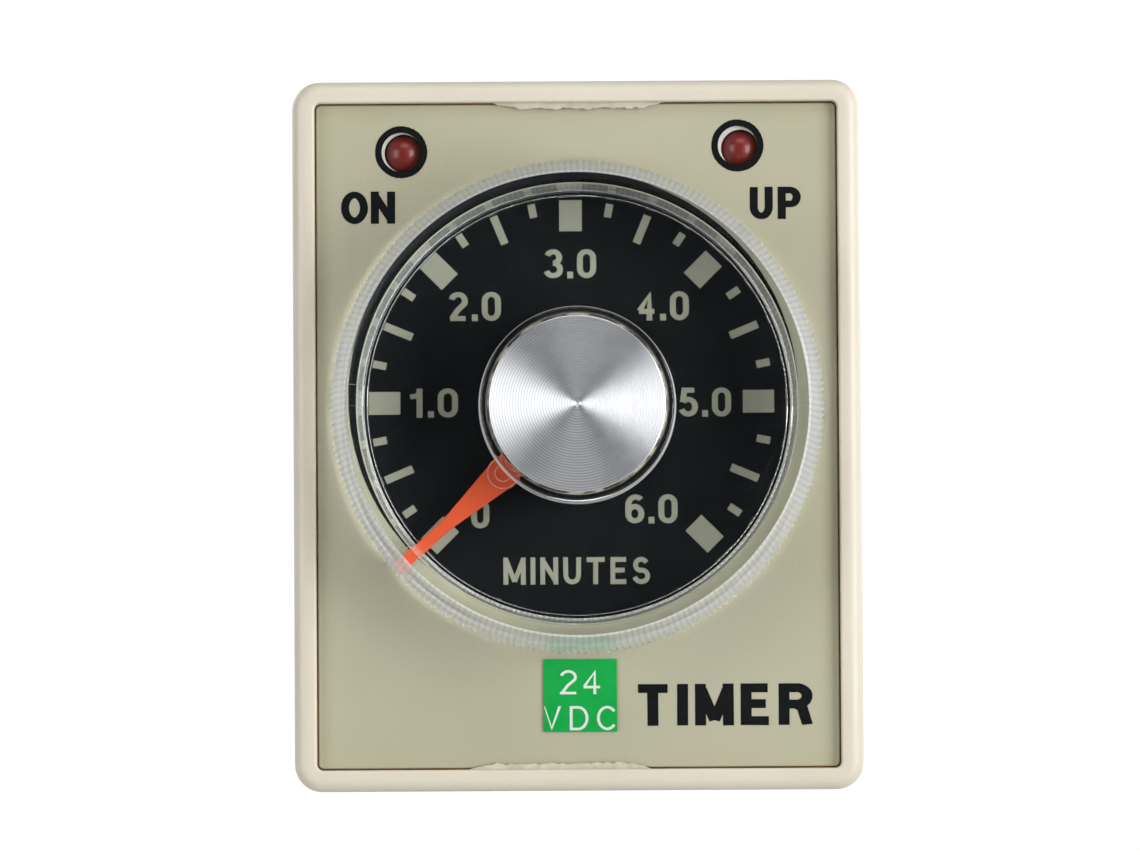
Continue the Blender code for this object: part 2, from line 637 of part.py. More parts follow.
# ---------------------------------------------------------------- potentiometer
def make_pot_shaft(dial):
    stub_end = SHAFT_SHOULDER + SHAFT_STUB_LENGTH
    profile = [(0.0, SHAFT_FRONT), (SHAFT_RADIUS - 0.3, SHAFT_FRONT), (SHAFT_RADIUS, SHAFT_FRONT + 0.3)]
    profile += [(SHAFT_RADIUS, SHAFT_SHOULDER), (SHAFT_STUB_RADIUS, SHAFT_SHOULDER)]
    profile += [(SHAFT_STUB_RADIUS, stub_end), (0.0, stub_end)]
    shaft = add("pot_shaft", turned(profile), "brass", dial)
    low = (-SHAFT_RADIUS - 1, SHAFT_FRONT - 1, SHAFT_FLAT)
    cut(shaft, block(low, (SHAFT_RADIUS + 1, SHAFT_FLAT_END, SHAFT_RADIUS + 1)))


def make_pot_wiper(dial):
    back = WIPER_FRONT + WIPER_THICKNESS
    bore = SHAFT_STUB_RADIUS + FIT_GAP
    ring = [(bore, WIPER_FRONT), (WIPER_HUB_RADIUS, WIPER_FRONT), (WIPER_HUB_RADIUS, back), (bore, back)]
    wiper = add("pot_wiper", turned(ring), "nickel", dial)
    half = WIPER_WIDTH / 2
    inner = (WIPER_HUB_RADIUS + bore) / 2
    arm = block((inner, WIPER_FRONT, -half), (WIPER_REACH, back, half))
    foot_end = WAFER_FRONT - REST_GAP
    foot = block((WIPER_REACH - 1, WIPER_FRONT + 0.2, -half), (WIPER_REACH - 0.1, foot_end, half - 0.1))
    join(wiper, arm)
    join(wiper, foot)


def make_pot_body(pot):
    bore = SHAFT_RADIUS + FIT_GAP
    profile = [(bore, BUSHING_FRONT), (BUSHING_RADIUS, BUSHING_FRONT), (BUSHING_RADIUS, POT_FLANGE_FRONT)]
    profile += [(POT_RADIUS, POT_FLANGE_FRONT), (POT_RADIUS, POT_FLANGE_BACK), (bore, POT_FLANGE_BACK)]
    bushing = add("pot_bushing", turned(profile), "nickel", pot)
    stop_outer = POT_RADIUS - POT_WALL - REST_GAP
    stop_inner = SHAFT_RADIUS + WIPER_WIDTH
    stop_back = WIPER_FRONT + WIPER_THICKNESS
    stop_low = (-WIPER_WIDTH / 2, POT_FLANGE_BACK - POT_FLANGE / 2, -stop_outer)
    join(bushing, block(stop_low, (WIPER_WIDTH / 2, stop_back, -stop_inner)))

    inside = POT_RADIUS - POT_WALL
    floor = POT_BACK - POT_WALL
    profile = [(0.0, POT_BACK), (POT_RADIUS, POT_BACK), (POT_RADIUS, POT_FRONT)]
    profile += [(inside, POT_FRONT), (inside, floor), (0.0, floor)]
    case = add("pot_case", turned(profile), "steel", pot)
    half = WAFER_TONGUES_WIDTH / 2
    slot_low = (-half - REST_GAP, WAFER_FRONT - REST_GAP, -POT_RADIUS - 1)
    cut(case, block(slot_low, (half + REST_GAP, floor, -inside * 0.7)))

    wafer_shape = rod(inside - REST_GAP, WAFER_FRONT, WAFER_BACK)
    wafer = add("pot_wafer", wafer_shape, "wafer_brown", pot)
    tongue_low = (-half, WAFER_FRONT, -WAFER_TONGUES_REACH)
    join(wafer, block(tongue_low, (half, WAFER_BACK, -inside * 0.6)))
    gaps = []
    for x in mirrored(WAFER_TONGUES_WIDTH / 6):
        low = (x - 0.6, WAFER_FRONT - 1, -WAFER_TONGUES_REACH - 1)
        gaps.append(block(low, (x + 0.6, WAFER_BACK + 1, -POT_RADIUS - 0.4)))
    cut(wafer, *gaps)

    bore = BUSHING_RADIUS + FIT_GAP
    washer_front = WASHER_BACK - WASHER_THICKNESS
    ring = [(bore, washer_front), (WASHER_RADIUS, washer_front), (WASHER_RADIUS, WASHER_BACK)]
    add("pot_washer", turned(ring + [(bore, WASHER_BACK)]), "steel", pot)
    hexagon = circle(NUT_ACROSS_FLATS / 2 / math.cos(math.radians(30)), 6)
    nut = add("pot_nut", prism(hexagon, NUT_BACK - NUT_THICKNESS, NUT_BACK), "nickel", pot)
    cut(nut, rod(bore, NUT_BACK - NUT_THICKNESS - 1, NUT_BACK + 1))


# ---------------------------------------------------------------- front and rear boards
def tab_slots(depth):
    """The slots in a board for the main board's tabs."""
    half = TAB_WIDTH / 2 + FIT_GAP
    left = MAIN_BOARD_FACE - BOARD_THICKNESS - FIT_GAP
    right = MAIN_BOARD_FACE + FIT_GAP
    low, high = depth - 1, depth + BOARD_THICKNESS + 1
    return [block((left, low, z - half), (right, high, z + half)) for z in mirrored(TAB_AT)]


def make_front_board(front):
    outline = rectangle(BOARD_WIDTH, BOARD_HEIGHT)
    shape = prism(outline, FRONT_BOARD_DEPTH, FRONT_BOARD_BACK)
    board = add("front_board", shape, "board_green", front)
    low, high = FRONT_BOARD_DEPTH - 1, FRONT_BOARD_BACK + 1
    holes = [rod(BUSHING_RADIUS + REST_GAP, low, high, centre=(0.0, DIAL_RISE))]
    for _, x, z in lamp_places():
        for offset in mirrored(LAMP_LEAD_PITCH / 2):
            holes.append(rod(LEAD_HOLE_RADIUS, low, high, WIRE_STEPS, centre=(x + offset, z)))
    cut(board, *holes, *tab_slots(FRONT_BOARD_DEPTH))


def make_lamp(front, name, x, z):
    tip = PLATE_BACK - LAMP_NOSE
    base = tip + LAMP_LENGTH
    nose = [(LAMP_RADIUS * math.sin(a), tip + LAMP_RADIUS * (1 - math.cos(a)))
            for a in (math.radians(degrees) for degrees in (30, 60, 90))]
    profile = [(0.0, tip), *nose, (LAMP_RADIUS, base - LAMP_FLANGE)]
    profile += [(LAMP_FLANGE_RADIUS, base - LAMP_FLANGE), (LAMP_FLANGE_RADIUS, base), (0.0, base)]
    lamp = add(name, moved(turned(profile, SMALL_STEPS), x, 0.0, z), "lamp_red", front)
    end = FRONT_BOARD_BACK + LEAD_TAIL
    places = [(x + offset, z) for offset in mirrored(LAMP_LEAD_PITCH / 2)]
    join(lamp, *[rod(LEAD_RADIUS, base - 0.4, end, WIRE_STEPS, centre=place) for place in places])


def make_timer_ic(front):
    length, depth, width = IC_SIZE
    board_side = FRONT_BOARD_BACK + REST_GAP
    body_front = board_side + IC_STANDOFF
    z = IC_FROM_BOTTOM - CAVITY_HEIGHT / 2
    body = block((-length / 2, body_front, z - width / 2), (length / 2, body_front + depth, z + width / 2))
    chip = add("timer_ic", body, "black_plastic", front)
    middle = body_front + depth / 2
    legs = []
    for up in (1, -1):
        inside, knee, outside = width / 2 - 0.3, width / 2 + 0.3, width / 2 + 0.6
        outline = [(middle, inside), (middle, knee), (board_side, knee), (board_side, outside)]
        outline += [(middle + 0.3, outside), (middle + 0.3, inside)]
        outline = [(y, z + up * height) for y, height in outline]
        for leg in range(IC_PINS_A_SIDE):
            x = (leg - (IC_PINS_A_SIDE - 1) / 2) * IC_PIN_PITCH
            legs.append(prism(outline, x - 0.25, x + 0.25, axis="X"))
    join(chip, *legs)


def trimmer_centre():
    return CAVITY_WIDTH / 2 - TRIMMER_FROM_SIDE, CAVITY_HEIGHT / 2 - TRIMMER_FROM_TOP


def make_trimmer_body(front):
    x, z = trimmer_centre()
    half = TRIMMER_SIZE / 2
    low = FRONT_BOARD_BACK + REST_GAP
    back = low + TRIMMER_DEPTH
    body = add("trimmer_body", block((x - half, low, z - half), (x + half, back, z + half)),
               "blue_plastic", front)
    pocket = back - TRIMMER_ROTOR_DEPTH - FIT_GAP
    cut(body, rod(TRIMMER_ROTOR_RADIUS + FIT_GAP, pocket, back + 1, centre=(x, z)))


def make_trimmer_rotor(trimmer):
    rotor = add("trimmer_rotor", rod(TRIMMER_ROTOR_RADIUS, -TRIMMER_ROTOR_DEPTH, 0.0, SMALL_STEPS),
                "white_plastic", trimmer)
    cut(rotor, block((-1.4, -0.5, -0.3), (1.4, 1.0, 0.3)))


def make_rear_board(seat):
    front = REAR_BOARD_FRONT - CASE_DEPTH
    shape = prism(rectangle(BOARD_WIDTH, BOARD_HEIGHT), front, front + BOARD_THICKNESS)
    board = add("rear_board", shape, "board_green", seat)
    low, high = front - 1, front + BOARD_THICKNESS + 1
    radius = PIN_TAIL_RADIUS + 2 * FIT_GAP
    holes = [rod(radius, low, high, SMALL_STEPS, centre=place) for place in pin_places()]
    cut(board, *holes, *tab_slots(front))


# ---------------------------------------------------------------- octal base and its pins
def pin_places():
    """The pins' centres, pin 1 first, numbered the usual way round from the key, which points down."""
    step = 360 / PIN_COUNT
    angles = [math.radians(step / 2 + step * pin) for pin in range(PIN_COUNT)]
    return [(PIN_CIRCLE_RADIUS * math.sin(a), -PIN_CIRCLE_RADIUS * math.cos(a)) for a in angles]


def make_octal_base(seat):
    width, height = CAVITY_WIDTH - 2 * FIT_GAP, CAVITY_HEIGHT - 2 * FIT_GAP
    plate = prism(rectangle(width, height, BASE_CORNER), -BASE_THICKNESS, 0.0)
    base = add("octal_base", plate, "black_plastic", seat)

    tip_radius = SPIGOT_RADIUS - SPIGOT_CHAMFER
    inside = -BASE_THICKNESS / 2
    spigot = [(0.0, inside), (SPIGOT_RADIUS, inside), (SPIGOT_RADIUS, SPIGOT_LENGTH - SPIGOT_CHAMFER)]
    join(base, turned(spigot + [(tip_radius, SPIGOT_LENGTH), (0.0, SPIGOT_LENGTH)]))
    half = KEY_WIDTH / 2
    key = [(inside, -KEY_REACH), (KEY_LENGTH - SPIGOT_CHAMFER, -KEY_REACH)]
    key += [(KEY_LENGTH, -KEY_REACH + SPIGOT_CHAMFER), (KEY_LENGTH, -tip_radius), (inside, -tip_radius)]
    join(base, prism(key, -half, half, axis="X"))

    tab_back = -BASE_TAB_FROM_SEAT
    tab_front = tab_back - BASE_TAB_LENGTH
    root, reach = width / 2 - 1, width / 2 + BASE_TAB_REACH
    tabs = []
    for side in (1, -1):
        outline = [(root, tab_front), (width / 2, tab_front), (reach, tab_front + BASE_TAB_REACH)]
        outline = [(side * x, y) for x, y in outline + [(reach, tab_back), (root, tab_back)]]
        for z in mirrored(BASE_TAB_AT):
            low, high = z - BASE_TAB_WIDTH / 2, z + BASE_TAB_WIDTH / 2
            tabs.append(prism(outline, low, high, axis="Z"))
    join(base, *tabs)

    low = -BASE_THICKNESS - 1
    pocket_floor = -BASE_THICKNESS + PIN_FIT + PIN_FLANGE + REST_GAP
    pocket_radius, hole_radius = PIN_FLANGE_RADIUS + REST_GAP, PIN_RADIUS + PIN_FIT
    for radius, high in ((pocket_radius, pocket_floor), (hole_radius, 1.0)):
        cut(base, *[rod(radius, low, high, SMALL_STEPS, centre=place) for place in pin_places()])


def make_pins(seat):
    flange_front = -BASE_THICKNESS + PIN_FIT
    flange_back = flange_front + PIN_FLANGE
    tail_end = REAR_BOARD_FRONT - CASE_DEPTH - LEAD_TAIL
    tip = [(PIN_RADIUS * math.cos(a), PIN_LENGTH - PIN_RADIUS * (1 - math.sin(a)))
           for a in (math.radians(degrees) for degrees in (0, 40, 70))]
    profile = [(0.0, tail_end), (PIN_TAIL_RADIUS, tail_end), (PIN_TAIL_RADIUS, flange_front)]
    profile += [(PIN_FLANGE_RADIUS, flange_front), (PIN_FLANGE_RADIUS, flange_back)]
    profile += [(PIN_RADIUS, flange_back), *tip, (0.0, PIN_LENGTH)]
    for number, (x, z) in enumerate(pin_places(), start=1):
        add(f"pin_{number}", turned(profile, SMALL_STEPS), "nickel", seat, (x, 0.0, z))


# ---------------------------------------------------------------- main board and what stands on it
def lead_places():
    """Where each lead goes through the main board, in the board's frame."""
    rows = (
        (SMOOTHING_CAPACITOR, UPPER_ROW, 2),
        (TIMING_CAPACITOR, UPPER_ROW, 2),
        (FILM_CAPACITOR, LOWER_ROW, 2),
        (TRANSISTOR, LOWER_ROW, 3),
        (DIODE, LOWER_ROW, 2),
        (RESISTOR, LOWER_ROW, 2),
    )
    for part, row, leads in rows:
        for lead in range(leads):
            along = (lead - (leads - 1) / 2) * part["lead_pitch"]
            yield RELAY_FRONT + part["along"] + along, row


def make_main_board(board):
    """The board lies in its own frame: x along the case, y across it, z up from its fitted side."""
    outline = []
    half, tab = MAIN_BOARD_HALF, TAB_WIDTH / 2
    for x, out, order in ((MAIN_BOARD_FRONT, -TAB_REACH, 1), (MAIN_BOARD_BACK, TAB_REACH, -1)):
        edge = [(x, half)]
        for y in (TAB_AT, -TAB_AT):
            edge += [(x, y + tab), (x + out, y + tab), (x + out, y - tab), (x, y - tab)]
        edge.append((x, -half))
        outline += edge[::order]
    main = add("main_board", prism(outline, -BOARD_THICKNESS, 0.0, axis="Z"), "board_green", board)
    low, high = -BOARD_THICKNESS - 1, 1.0
    holes = [rod(LEAD_HOLE_RADIUS, low, high, WIRE_STEPS, "Z", place) for place in lead_places()]
    for x in (NC_FACE - FIXED_BUTTON - FIXED_THICKNESS / 2, NO_FACE + FIXED_BUTTON + FIXED_THICKNESS / 2):
        holes += terminal_slots(RELAY_FRONT + x, low, high)
    cut(main, *holes)


def terminal_slots(x, low, high):
    half, wide = FIXED_THICKNESS / 2 + REST_GAP, FIXED_WIDTH / 2 + REST_GAP
    return [block((x - half, y - wide, low), (x + half, y + wide, high)) for y in mirrored(CONTACT_SPREAD)]


def leads(pitch, top, count=2):
    """Straight leads from a part down through the main board, in the part's own place."""
    bottom = -BOARD_THICKNESS - LEAD_TAIL
    places = [((lead - (count - 1) / 2) * pitch, 0.0) for lead in range(count)]
    return [rod(LEAD_RADIUS, bottom, top, WIRE_STEPS, "Z", place) for place in places]


def fitted(board, name, part, row, body, finish, lead_shapes):
    """A component placed on the main board, with its leads joined to it."""
    place = (RELAY_FRONT + part["along"], row)
    piece = add(name, moved(body, *place), finish, board)
    join(piece, *[moved(shape, *place) for shape in lead_shapes])


def axial_body(part):
    """A round body lying above the board, on bent leads."""
    height = AXIAL_STANDOFF + part["radius"]
    body = rod(part["radius"], -part["length"] / 2, part["length"] / 2, SMALL_STEPS, "X", (0.0, height))
    half = part["lead_pitch"] / 2
    knee = LEAD_RADIUS * 0.8
    wire = rod(LEAD_RADIUS * 0.98, -half - knee, half + knee, WIRE_STEPS, "X", (0.0, height))
    return body, wire, leads(part["lead_pitch"], height)


def make_board_parts(board):
    part = SMOOTHING_CAPACITOR
    top = REST_GAP + part["height"]
    profile = [(0.0, REST_GAP), (part["radius"], REST_GAP), (part["radius"], REST_GAP + 1.2)]
    profile += [(part["radius"] - 0.3, REST_GAP + 1.5), (part["radius"], REST_GAP + 1.8)]
    profile += [(part["radius"], top - 0.4), (part["radius"] - 0.4, top), (0.0, top)]
    body = turned(profile, axis="Z")
    stems = leads(part["lead_pitch"], REST_GAP + 0.5)
    fitted(board, "smoothing_capacitor", part, UPPER_ROW, body, "sleeve_blue", stems)

    for name, part, row, finish in (
        ("timing_capacitor", TIMING_CAPACITOR, UPPER_ROW, "white_plastic"),
        ("film_capacitor", FILM_CAPACITOR, LOWER_ROW, "film_yellow"),
    ):
        length, width, height = part["size"]
        body = block((-length / 2, -width / 2, REST_GAP), (length / 2, width / 2, REST_GAP + height))
        fitted(board, name, part, row, body, finish, leads(part["lead_pitch"], REST_GAP + 0.5))

    part = TRANSISTOR
    outline = flatted_circle(part["radius"], part["flat"], SMALL_STEPS)
    body = prism(outline, TRANSISTOR_STANDOFF, TRANSISTOR_STANDOFF + part["height"], axis="Z")
    stems = leads(part["lead_pitch"], TRANSISTOR_STANDOFF + 0.5, count=3)
    fitted(board, "driver_transistor", part, LOWER_ROW, body, "black_plastic", stems)

    for name, part, finish in (
        ("freewheel_diode", DIODE, "black_plastic"),
        ("power_resistor", RESISTOR, "resistor_body"),
    ):
        body, wire, stems = axial_body(part)
        piece_place = (RELAY_FRONT + part["along"], LOWER_ROW)
        piece = add(name, moved(body, *piece_place), finish, board)
        join(piece, moved(wire, *piece_place))
        join(piece, *[moved(stem, *piece_place) for stem in stems])


# ---------------------------------------------------------------- relay
def make_relay_case(relay):
    half = RELAY_WIDTH / 2
    base = add("relay_base", block((0.0, -half, 0.0), (RELAY_LENGTH, half, RELAY_BASE)),
               "black_plastic", relay)
    slots = []
    for x in (NC_FACE - FIXED_BUTTON - FIXED_THICKNESS / 2, NO_FACE + FIXED_BUTTON + FIXED_THICKNESS / 2):
        slots += terminal_slots(x, -1.0, RELAY_BASE + 1)
    cut(base, *slots)

    outer = [(x + RELAY_LENGTH / 2, y) for x, y in rectangle(RELAY_LENGTH, RELAY_WIDTH, 0.6)]
    thin = 2 * RELAY_COVER_WALL
    inner = rectangle(RELAY_LENGTH - thin, RELAY_WIDTH - thin, 0.3)
    inner = [(x + RELAY_LENGTH / 2, y) for x, y in inner]
    low = RELAY_BASE + REST_GAP
    ceiling = RELAY_HEIGHT - RELAY_COVER_WALL
    layers = [(inner, ceiling), (inner, low), (outer, low), (outer, RELAY_HEIGHT)]
    add("relay_cover", lofted(layers, axis="Z"), "smoke_plastic", relay)


def make_relay_coil(relay):
    bore = CORE_RADIUS + FIT_GAP
    barrel = bore + BOBBIN_BARREL
    low, top = BOBBIN_LOW, BOBBIN_TOP
    profile = [(bore, low), (BOBBIN_RADIUS, low), (BOBBIN_RADIUS, low + BOBBIN_FLANGE)]
    profile += [(barrel, low + BOBBIN_FLANGE), (barrel, top - BOBBIN_FLANGE)]
    profile += [(BOBBIN_RADIUS, top - BOBBIN_FLANGE), (BOBBIN_RADIUS, top), (bore, top)]
    place = (COIL_AT, 0.0, 0.0)
    add("relay_bobbin", turned(profile, axis="Z"), "white_plastic", relay, place)

    inner = barrel + FIT_GAP
    low, top = low + BOBBIN_FLANGE + FIT_GAP, top - BOBBIN_FLANGE - FIT_GAP
    ring = [(inner, low), (WINDING_RADIUS, low), (WINDING_RADIUS, top), (inner, top)]
    add("relay_winding", turned(ring, axis="Z"), "copper", relay, place)

    shoulder = YOKE_FLOOR + FIT_GAP
    head = CORE_TOP - CORE_HEAD
    profile = [(0.0, YOKE_BOTTOM), (CORE_STUB_RADIUS, YOKE_BOTTOM), (CORE_STUB_RADIUS, shoulder)]
    profile += [(CORE_RADIUS, shoulder), (CORE_RADIUS, head), (CORE_HEAD_RADIUS, head)]
    profile += [(CORE_HEAD_RADIUS, CORE_TOP), (0.0, CORE_TOP)]
    add("relay_core", turned(profile, axis="Z"), "steel", relay, place)

    outline = [(YOKE_START, YOKE_BOTTOM), (YOKE_WALL_BACK, YOKE_BOTTOM), (YOKE_WALL_BACK, YOKE_TOP)]
    outline += [(YOKE_WALL_AT, YOKE_TOP), (YOKE_WALL_AT, YOKE_FLOOR), (YOKE_START, YOKE_FLOOR)]
    yoke = add("relay_yoke", prism(outline, -YOKE_WIDTH / 2, YOKE_WIDTH / 2), "steel", relay)
    rivet_hole = rod(CORE_STUB_RADIUS + FIT_GAP, 0.0, YOKE_FLOOR + 1, SMALL_STEPS, "Z", (COIL_AT, 0.0))
    cut(yoke, rivet_hole)

    front = YOKE_WALL_BACK + FIT_GAP
    low = BLOCK_LOW - 2 * SPRING_THICKNESS
    foot = LEG_BACK - SPRING_THICKNESS
    outline = [(front, low), (foot, low), (foot, low + SPRING_THICKNESS)]
    outline += [(front + SPRING_THICKNESS, low + SPRING_THICKNESS)]
    outline += [(front + SPRING_THICKNESS, YOKE_TOP - 0.5), (front, YOKE_TOP - 0.5)]
    add("relay_return_spring", prism(outline, -SPRING_WIDTH / 2, SPRING_WIDTH / 2), "nickel", relay)


def make_relay_armature(hinge):
    """The armature and what it carries, placed from the edge that it tips on."""
    pivot_x, pivot_z = armature_pivot()
    top = ARMATURE_THICKNESS
    outline = [(ARMATURE_START, 0.0), (LEG_FRONT, 0.0), (LEG_FRONT, -ARMATURE_LEG + top)]
    outline += [(LEG_BACK, -ARMATURE_LEG + top), (LEG_BACK, top), (ARMATURE_START, top)]
    outline = [(x - pivot_x, z) for x, z in outline]
    half = ARMATURE_WIDTH / 2
    add("relay_armature", prism(outline, -half, half), "steel", hinge)

    half = BLOCK_WIDTH / 2
    low = (BLOCK_FRONT - pivot_x, -half, BLOCK_LOW - pivot_z)
    high = (BLOCK_FRONT + BLOCK_THICKNESS - pivot_x, half, BLOCK_HIGH - pivot_z)
    add("relay_contact_block", block(low, high), "white_plastic", hinge)

    for number, y in enumerate(mirrored(CONTACT_SPREAD), start=1):
        low = (BLADE_FRONT - pivot_x, y - BLADE_WIDTH / 2, BLADE_LOW - pivot_z)
        high = (BLADE_BACK - pivot_x, y + BLADE_WIDTH / 2, BLADE_HIGH - pivot_z)
        blade = add(f"relay_blade_{number}", block(low, high), "copper", hinge)
        ends = (BLADE_FRONT - CONTACT_BUTTON - pivot_x, BLADE_BACK + CONTACT_BUTTON - pivot_x)
        centre = (y, CONTACT_HEIGHT - pivot_z)
        join(blade, rod(CONTACT_RADIUS, *ends, SMALL_STEPS, "X", centre))


def armature_pivot():
    return (YOKE_WALL_AT + YOKE_WALL_BACK) / 2, ARMATURE_LOW


def make_relay_contacts(relay):
    """Fixed contacts: the normally closed ones touch the blades at rest."""
    bottom = -REST_GAP - BOARD_THICKNESS - LEAD_TAIL
    for kind, face, toward in (("nc", NC_FACE, -1), ("no", NO_FACE, 1)):
        root = face + toward * FIXED_BUTTON
        strip = sorted((root, root + toward * FIXED_THICKNESS))
        button = sorted((face, root + toward * FIXED_THICKNESS / 2))
        for number, y in enumerate(mirrored(CONTACT_SPREAD), start=1):
            low = (strip[0], y - FIXED_WIDTH / 2, bottom)
            high = (strip[1], y + FIXED_WIDTH / 2, FIXED_TOP)
            contact = add(f"relay_fixed_{kind}_{number}", block(low, high), "brass", relay)
            centre = (y, CONTACT_HEIGHT)
            join(contact, rod(CONTACT_RADIUS, *button, SMALL_STEPS, "X", centre))


# ---------------------------------------------------------------- the assembly
def build():
    clear_scene()
    seat = frame("seat_frame", None)
    front = frame("front_frame", seat, (0.0, -CASE_DEPTH, 0.0))
    make_housing(front)
    make_face_plate(front)
    make_labels(front)

    rest_turn = (0.0, -math.radians(POINTER_REST_ANGLE), 0.0)
    dial = frame("dial_axis", front, (0.0, 0.0, DIAL_RISE), rest_turn)
    make_knob(dial)
    make_knob_cap(dial)
    make_pointer(dial)
    make_pot_shaft(dial)
    make_pot_wiper(dial)
    pot = frame("pot_frame", front, (0.0, 0.0, DIAL_RISE))
    make_pot_body(pot)

    make_front_board(front)
    for name, x, z in lamp_places():
        make_lamp(front, name, x, z)
    make_timer_ic(front)
    make_trimmer_body(front)
    x, z = trimmer_centre()
    trimmer_back = FRONT_BOARD_BACK + REST_GAP + TRIMMER_DEPTH
    make_trimmer_rotor(frame("trimmer_axis", front, (x, trimmer_back, z)))

    make_octal_base(seat)
    make_pins(seat)
    make_rear_board(seat)

    # In the board's frame x runs along the case, y is up and z is away from the board
    board_turn = Matrix(((0, 0, 1), (1, 0, 0), (0, 1, 0))).to_euler()
    board = frame("board_frame", front, (MAIN_BOARD_FACE, 0.0, 0.0), board_turn)
    make_main_board(board)
    make_board_parts(board)
    relay = frame("relay_frame", board, (RELAY_FRONT, 0.0, REST_GAP))
    make_relay_case(relay)
    make_relay_coil(relay)
    make_relay_contacts(relay)
    pivot_x, pivot_z = armature_pivot()
    make_relay_armature(frame("armature_axis", relay, (pivot_x, 0.0, pivot_z)))


build()
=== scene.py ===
# %% [markdown]
# # A plug-in timer relay, finished around its measured frame
# This lesson dresses a small timer: an ivory case with a beige front plate, a clear dial knob over a
# black printed scale, two red lamps, and an octal plug at the back. The measured model gives every
# place and size. What follows gives the pieces their fine shape and their materials.
# The frame comes first, because each piece is placed from the box of the node it stands for.

# %% Load the measured frame
import json
import math

import bmesh
import bpy
from mathutils import Matrix, Vector

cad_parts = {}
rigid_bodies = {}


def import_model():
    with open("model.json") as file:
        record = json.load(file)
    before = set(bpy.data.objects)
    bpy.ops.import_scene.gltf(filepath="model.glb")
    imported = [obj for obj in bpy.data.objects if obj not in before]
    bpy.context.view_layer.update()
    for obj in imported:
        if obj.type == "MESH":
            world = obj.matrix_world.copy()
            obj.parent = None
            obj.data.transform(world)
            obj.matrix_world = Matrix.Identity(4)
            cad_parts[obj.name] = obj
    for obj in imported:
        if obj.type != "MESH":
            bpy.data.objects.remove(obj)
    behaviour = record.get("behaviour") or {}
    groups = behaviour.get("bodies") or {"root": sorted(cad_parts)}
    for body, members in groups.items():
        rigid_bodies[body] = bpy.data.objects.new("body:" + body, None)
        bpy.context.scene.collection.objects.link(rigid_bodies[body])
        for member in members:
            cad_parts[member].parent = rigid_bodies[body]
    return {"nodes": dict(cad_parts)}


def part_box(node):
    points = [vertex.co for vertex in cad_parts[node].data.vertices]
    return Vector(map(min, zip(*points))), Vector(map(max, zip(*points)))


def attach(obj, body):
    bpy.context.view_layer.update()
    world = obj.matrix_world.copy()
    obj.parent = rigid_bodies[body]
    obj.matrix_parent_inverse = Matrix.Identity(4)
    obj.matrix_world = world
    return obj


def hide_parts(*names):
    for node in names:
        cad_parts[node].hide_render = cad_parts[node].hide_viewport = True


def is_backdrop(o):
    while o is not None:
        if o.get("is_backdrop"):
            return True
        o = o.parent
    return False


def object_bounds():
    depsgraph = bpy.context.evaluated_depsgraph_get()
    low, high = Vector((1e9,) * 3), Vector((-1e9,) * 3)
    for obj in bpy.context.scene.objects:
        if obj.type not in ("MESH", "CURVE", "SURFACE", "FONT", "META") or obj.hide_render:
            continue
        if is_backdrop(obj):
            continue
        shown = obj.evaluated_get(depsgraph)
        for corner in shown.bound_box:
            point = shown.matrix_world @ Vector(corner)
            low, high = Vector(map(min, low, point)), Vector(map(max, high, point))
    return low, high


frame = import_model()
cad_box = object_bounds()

MM = 0.001
nodes = frame["nodes"]
print("size in mm:", [round(1000 * (b - a), 2) for a, b in zip(*cad_box)])

# %% [markdown]
# ## Places that later cells measure from
# Depths on the front are counted from the rim's front plane, towards the plug. `box_mm` gives a
# node's box in millimetres, so later cells can speak of the rim, the plate or the knob by size.

# %% Measure the frame
def box_mm(node):
    low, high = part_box(node)
    return low / MM, high / MM


case_low, case_high = box_mm("housing")
plate_low, plate_high = box_mm("face_plate")
knob_low, knob_high = box_mm("knob")
RIM_FRONT = case_low.y
PLATE_DEPTH = plate_low.y - RIM_FRONT
PLATE_BACK = plate_high.y - RIM_FRONT
KNOB_RADIUS = (knob_high.x - knob_low.x) / 2
DIAL_AXIS = ((knob_low.x + knob_high.x) / 2, (knob_low.z + knob_high.z) / 2)
POINTER_ANGLE = 222.0
print("plate depth:", round(PLATE_DEPTH, 2), "knob radius:", round(KNOB_RADIUS, 2))
print("dial axis:", [round(c, 2) for c in DIAL_AXIS])

# %% [markdown]
# ## Camera
# The timer is seen square on, from a little below its middle, through a long lens that keeps the
# sides nearly hidden. A long lens is a camera that stands far away and has a narrow view, so the
# distance is chosen first and the focal length follows from the width to be seen. The camera could
# be turned by hand, but a direction made from a rise and a roll is easier to correct.

# %% Make the camera
SENSOR_WIDTH = 36.0
SEEN_WIDTH = 80.13
CAMERA_DISTANCE = 450.0
CAMERA_RISE = math.radians(-2.0)
CAMERA_ROLL = math.radians(-0.34)
AIM = Vector((-0.52, RIM_FRONT, 0.52))

camera = bpy.data.objects.new("camera", bpy.data.cameras.new("camera"))
bpy.context.scene.collection.objects.link(camera)
camera.data.sensor_width = SENSOR_WIDTH
camera.data.lens = SENSOR_WIDTH * CAMERA_DISTANCE / SEEN_WIDTH
camera.data.clip_start = 0.01
camera.data.clip_end = 20.0
back = Vector((0.0, -math.cos(CAMERA_RISE), math.sin(CAMERA_RISE)))
camera.location = (AIM + back * CAMERA_DISTANCE) * MM
facing = (-back).to_track_quat("-Z", "Y").to_matrix() @ Matrix.Rotation(CAMERA_ROLL, 3, "Z")
camera.rotation_euler = facing.to_euler()
bpy.context.scene.camera = camera
print("lens in mm:", round(camera.data.lens, 1))

